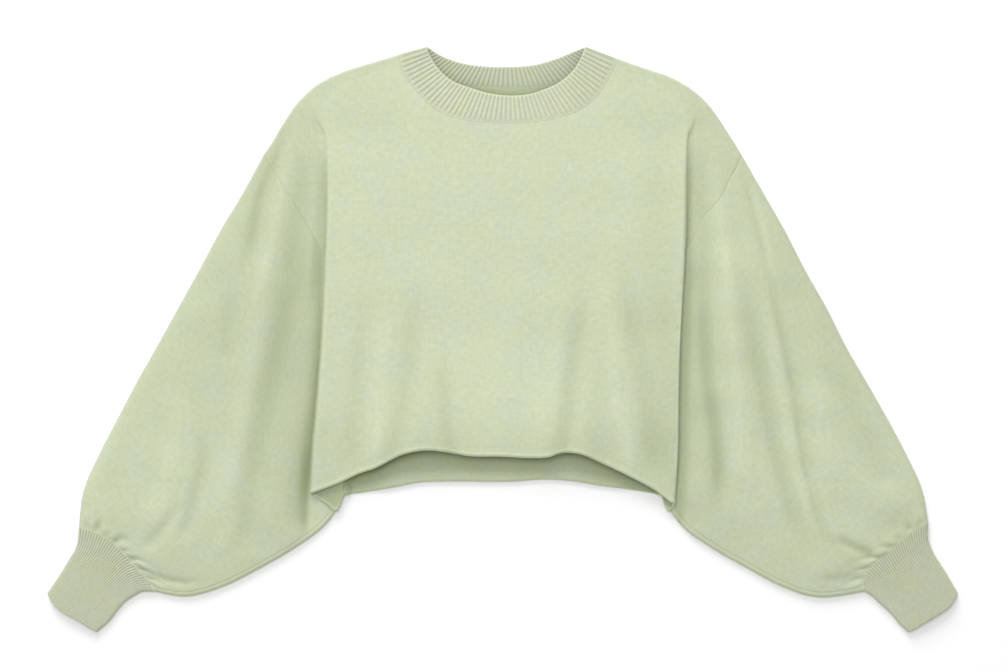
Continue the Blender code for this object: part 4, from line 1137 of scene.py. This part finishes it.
# Fine cotton and acrylic mix, knitted in one heathered yarn: matt, soft, with a faint bloom of
# loose fibre at grazing angles. The yarn is unevenly dyed, so its colour drifts from a
# yellower to a bluer sage over one to two centimetres.
jersey = {
    "name": "heatheredJerseyKnit",
    "yellow": "#C9CFAF",
    "blue": "#C6CEB6",
    "dark": "#9DA884",
    "shade": "#7D8A5E",        # painted shade: the colour the knit is painted towards in dips and creases
    "bloom": "#F2F6E6",
    "waleWidth": 2.2,          # the real stitch is about 1.5 wide, too fine to show
    "courseHeight": 1.9,
    "legSlant": 0.9,           # each leg of a stitch leans over so much of a course
    "loopShare": 0.35,         # how much a stitch rises and falls along its leg
    "stitchDepth": 0.35,
    "stitchShade": 0.08,
    "fuzzScale": 700.0,        # loose fibre, finer than a stitch
    "fuzzHeight": 2.0,
    "bump": 0.12,
    "mottle": 24.0,            # cell size of the drift of colour
    "streakLength": 8.0,       # uneven dyeing along the yarn shows as short fibrous streaks
    "streakWidth": 3.6,
    "streakOffset": (3.1, 7.7, 0.0),    # parts the streaks that run across from the others
    "heather": 0.36,
    "roughness": 0.92,
    "specular": 0.25,
    "sheen": 0.25,
    "sheenRoughness": 0.6,
}
# The same yarn in a narrow rib, which lies denser; its painted shade in the grooves is a little
# greyer.
ribKnit = dict(jersey, name="heatheredRibKnit", yellow="#CBCEB0", blue="#C8CDB8",
               shade="#7F876C", waleWidth=1.7, courseHeight=1.6)


def knitMaterial(look):
    material = bpy.data.materials.new(look["name"])
    material.use_nodes = True
    tree = material.node_tree
    shader = tree.nodes["Principled BSDF"]
    place = addNode(tree, "TexCoord", {})["Object"]
    uv = addNode(tree, "UVMap", {}, uv_map="knit")["UV"]
    parts = addNode(tree, "SeparateXYZ", {0: uv})
    # stitches in wales and courses, each with two slanting legs, under loose fibre
    wale = addNode(tree, "Math", {0: parts["X"], 1: 1000 / look["waleWidth"]},
                   operation="MULTIPLY")[0]
    course = addNode(tree, "Math", {0: parts["Y"], 1: 1000 / look["courseHeight"]},
                     operation="MULTIPLY")[0]
    leg = addNode(tree, "Math", {0: wale, 1: 1.0}, operation="PINGPONG")[0]
    slant = addNode(tree, "Math", {0: leg, 1: look["legSlant"], 2: course},
                    operation="MULTIPLY_ADD")[0]
    turns = addNode(tree, "Math", {0: slant, 1: 2 * math.pi}, operation="MULTIPLY")[0]
    loop = addNode(tree, "Math", {0: turns}, operation="SINE")[0]
    legTurns = addNode(tree, "Math", {0: leg, 1: math.pi}, operation="MULTIPLY")[0]
    legHeight = addNode(tree, "Math", {0: legTurns}, operation="SINE")[0]
    stitch = addNode(tree, "Math", {0: loop, 1: look["loopShare"], 2: legHeight},
                     operation="MULTIPLY_ADD")[0]
    fuzz = addNode(tree, "TexNoise", {"Vector": place, "Scale": look["fuzzScale"], "Detail": 3.0})
    height = addNode(tree, "Math", {0: fuzz["Fac"], 1: look["fuzzHeight"], 2: stitch},
                     operation="MULTIPLY_ADD")[0]
    relief = addNode(tree, "Bump", {"Height": height, "Strength": look["bump"],
                                    "Distance": look["stitchDepth"] / 1000})
    tree.links.new(relief["Normal"], shader.inputs["Normal"])
    # the drift of colour, and dark streaks of fibre both along and across, with a little painted
    # shade low between the stitches' legs
    drift = addNode(tree, "TexNoise", {"Vector": place, "Scale": 1000 / look["mottle"],
                                       "Detail": 3.0})["Fac"]
    driftShare = addNode(tree, "MapRange", {"Value": drift, "From Min": 0.3, "From Max": 0.7})[0]
    tint = addNode(tree, "Mix", {0: driftShare, 6: linearColour(look["yellow"]),
                                 7: linearColour(look["blue"])}, data_type="RGBA")[2]
    long, short = 1000 / look["streakLength"], 1000 / look["streakWidth"]
    upright = addNode(tree, "Mapping", {"Vector": uv, "Scale": (short, long, 1.0)})[0]
    level = addNode(tree, "Mapping", {"Vector": uv, "Location": look["streakOffset"],
                                      "Scale": (long, short, 1.0)})[0]
    streaks = [addNode(tree, "TexNoise", {"Vector": turned, "Scale": 1.0, "Detail": 1.0})["Fac"]
               for turned in (upright, level)]
    together = addNode(tree, "Math", {0: streaks[0], 1: streaks[1]}, operation="ADD")[0]
    fibres = addNode(tree, "Math", {0: stitch, 1: -look["stitchShade"], 2: together},
                     operation="MULTIPLY_ADD")[0]
    darkShare = addNode(tree, "MapRange", {"Value": fibres, "From Min": 0.5, "From Max": 1.5,
                                           "To Min": 0.0, "To Max": look["heather"]})[0]
    colour = addNode(tree, "Mix", {0: darkShare, 6: tint, 7: linearColour(look["dark"])},
                     data_type="RGBA")[2]
    # painted shade: the colour is mixed towards the shade colour by each piece's painted-shade
    # attribute
    paintedShade = addNode(tree, "Attribute", {}, attribute_name="paintedShade")["Fac"]
    shaded = addNode(tree, "Mix", {0: paintedShade, 6: colour, 7: linearColour(look["shade"])},
                     data_type="RGBA")[2]
    tree.links.new(shaded, shader.inputs["Base Color"])
    shader.inputs["Roughness"].default_value = look["roughness"]
    shader.inputs["Specular IOR Level"].default_value = look["specular"]
    shader.inputs["Sheen Weight"].default_value = look["sheen"]
    shader.inputs["Sheen Roughness"].default_value = look["sheenRoughness"]
    shader.inputs["Sheen Tint"].default_value = linearColour(look["bloom"])
    print("made the material", look["name"])
    return material


# A plain pale table, a large soft window, a softbox overhead, and the camera straight above.
studio = {
    "viewWidth": 1.109,        # metres across the view at the table
    "viewCentre": (0.00165, 0.00385),
    "cameraHeight": 4.0,
    "sensor": 36.0,
    "viewEnds": 50.0,
    "floor": "#F8F8F8",
    "floorSize": 8.0,
    "floorZ": -0.0003,         # just clear of the knit
    "windowAt": (-1.3, 5.0, 3.0),         # middle of the large soft window
    "windowSize": 3.4,
    "window": 236.0,                      # watts
    "overheadAt": (-0.6, 0.6, 4.6),       # softbox over the table
    "overheadSize": 2.6,
    "overhead": 110.0,
    "fill": 0.40,                         # light from the pale room all round
}


def makeStudio():
    bpy.ops.mesh.primitive_plane_add(size=studio["floorSize"], location=(0, 0, studio["floorZ"]))
    floor = bpy.context.object
    floor.name = "tableTop"
    paper = bpy.data.materials.new("mattWhitePaper")
    paper.use_nodes = True
    shader = paper.node_tree.nodes["Principled BSDF"]
    shader.inputs["Base Color"].default_value = linearColour(studio["floor"])
    shader.inputs["Roughness"].default_value = 1.0
    shader.inputs["Specular IOR Level"].default_value = 0.0
    floor.data.materials.append(paper)
    for name in ("window", "overhead"):
        bpy.ops.object.light_add(type="AREA", location=studio[name + "At"])
        lamp = bpy.context.object
        lamp.name = "soft" + name.capitalize()
        lamp.data.size = studio[name + "Size"]
        lamp.data.energy = studio[name]
        lamp.rotation_euler = (-lamp.location).to_track_quat("-Z", "Y").to_euler()
    world = bpy.data.worlds.new("paleStudio")
    bpy.context.scene.world = world
    world.use_nodes = True
    background = world.node_tree.nodes["Background"]
    background.inputs["Color"].default_value = linearColour("#FFFFFF")
    background.inputs["Strength"].default_value = studio["fill"]
    centre = studio["viewCentre"]
    bpy.ops.object.camera_add(location=(*centre, studio["cameraHeight"]), rotation=(0, 0, 0))
    camera = bpy.context.object
    camera.name = "overheadCamera"
    camera.data.sensor_width = studio["sensor"]
    camera.data.lens = studio["sensor"] * studio["cameraHeight"] / studio["viewWidth"]
    camera.data.clip_end = studio["viewEnds"]
    bpy.context.scene.camera = camera
    bpy.context.scene.view_settings.view_transform = "Standard"
    print("made the table, light and camera")


makeStudio()
jerseyKnit = knitMaterial(jersey)
rib = knitMaterial(ribKnit)
# each piece stands for a CAD node: its sizes, its material slot and what it lies on
pieces = {
    "body_back": (makeBack(jerseyKnit), back, "body_knit", ["tableTop"]),
    "body_front": (makeFront(jerseyKnit), front, "body_knit",
                   ["body_back", "sleeve_left", "sleeve_right"]),
    "sleeve_left": (makeSleeve("left", jerseyKnit), sleeve, "body_knit", ["tableTop"]),
    "sleeve_right": (makeSleeve("right", jerseyKnit), sleeve, "body_knit", ["tableTop"]),
    "cuff_left": (makeCuff("left", rib), cuff, "rib_knit", ["tableTop"]),
    "cuff_right": (makeCuff("right", rib), cuff, "rib_knit", ["tableTop"]),
    "neckband": (makeNeckband(rib), neckband, "rib_knit", ["body_back"]),
}
for node, (piece, sizes, slot, support) in pieces.items():
    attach(piece, "root")
    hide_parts(node)
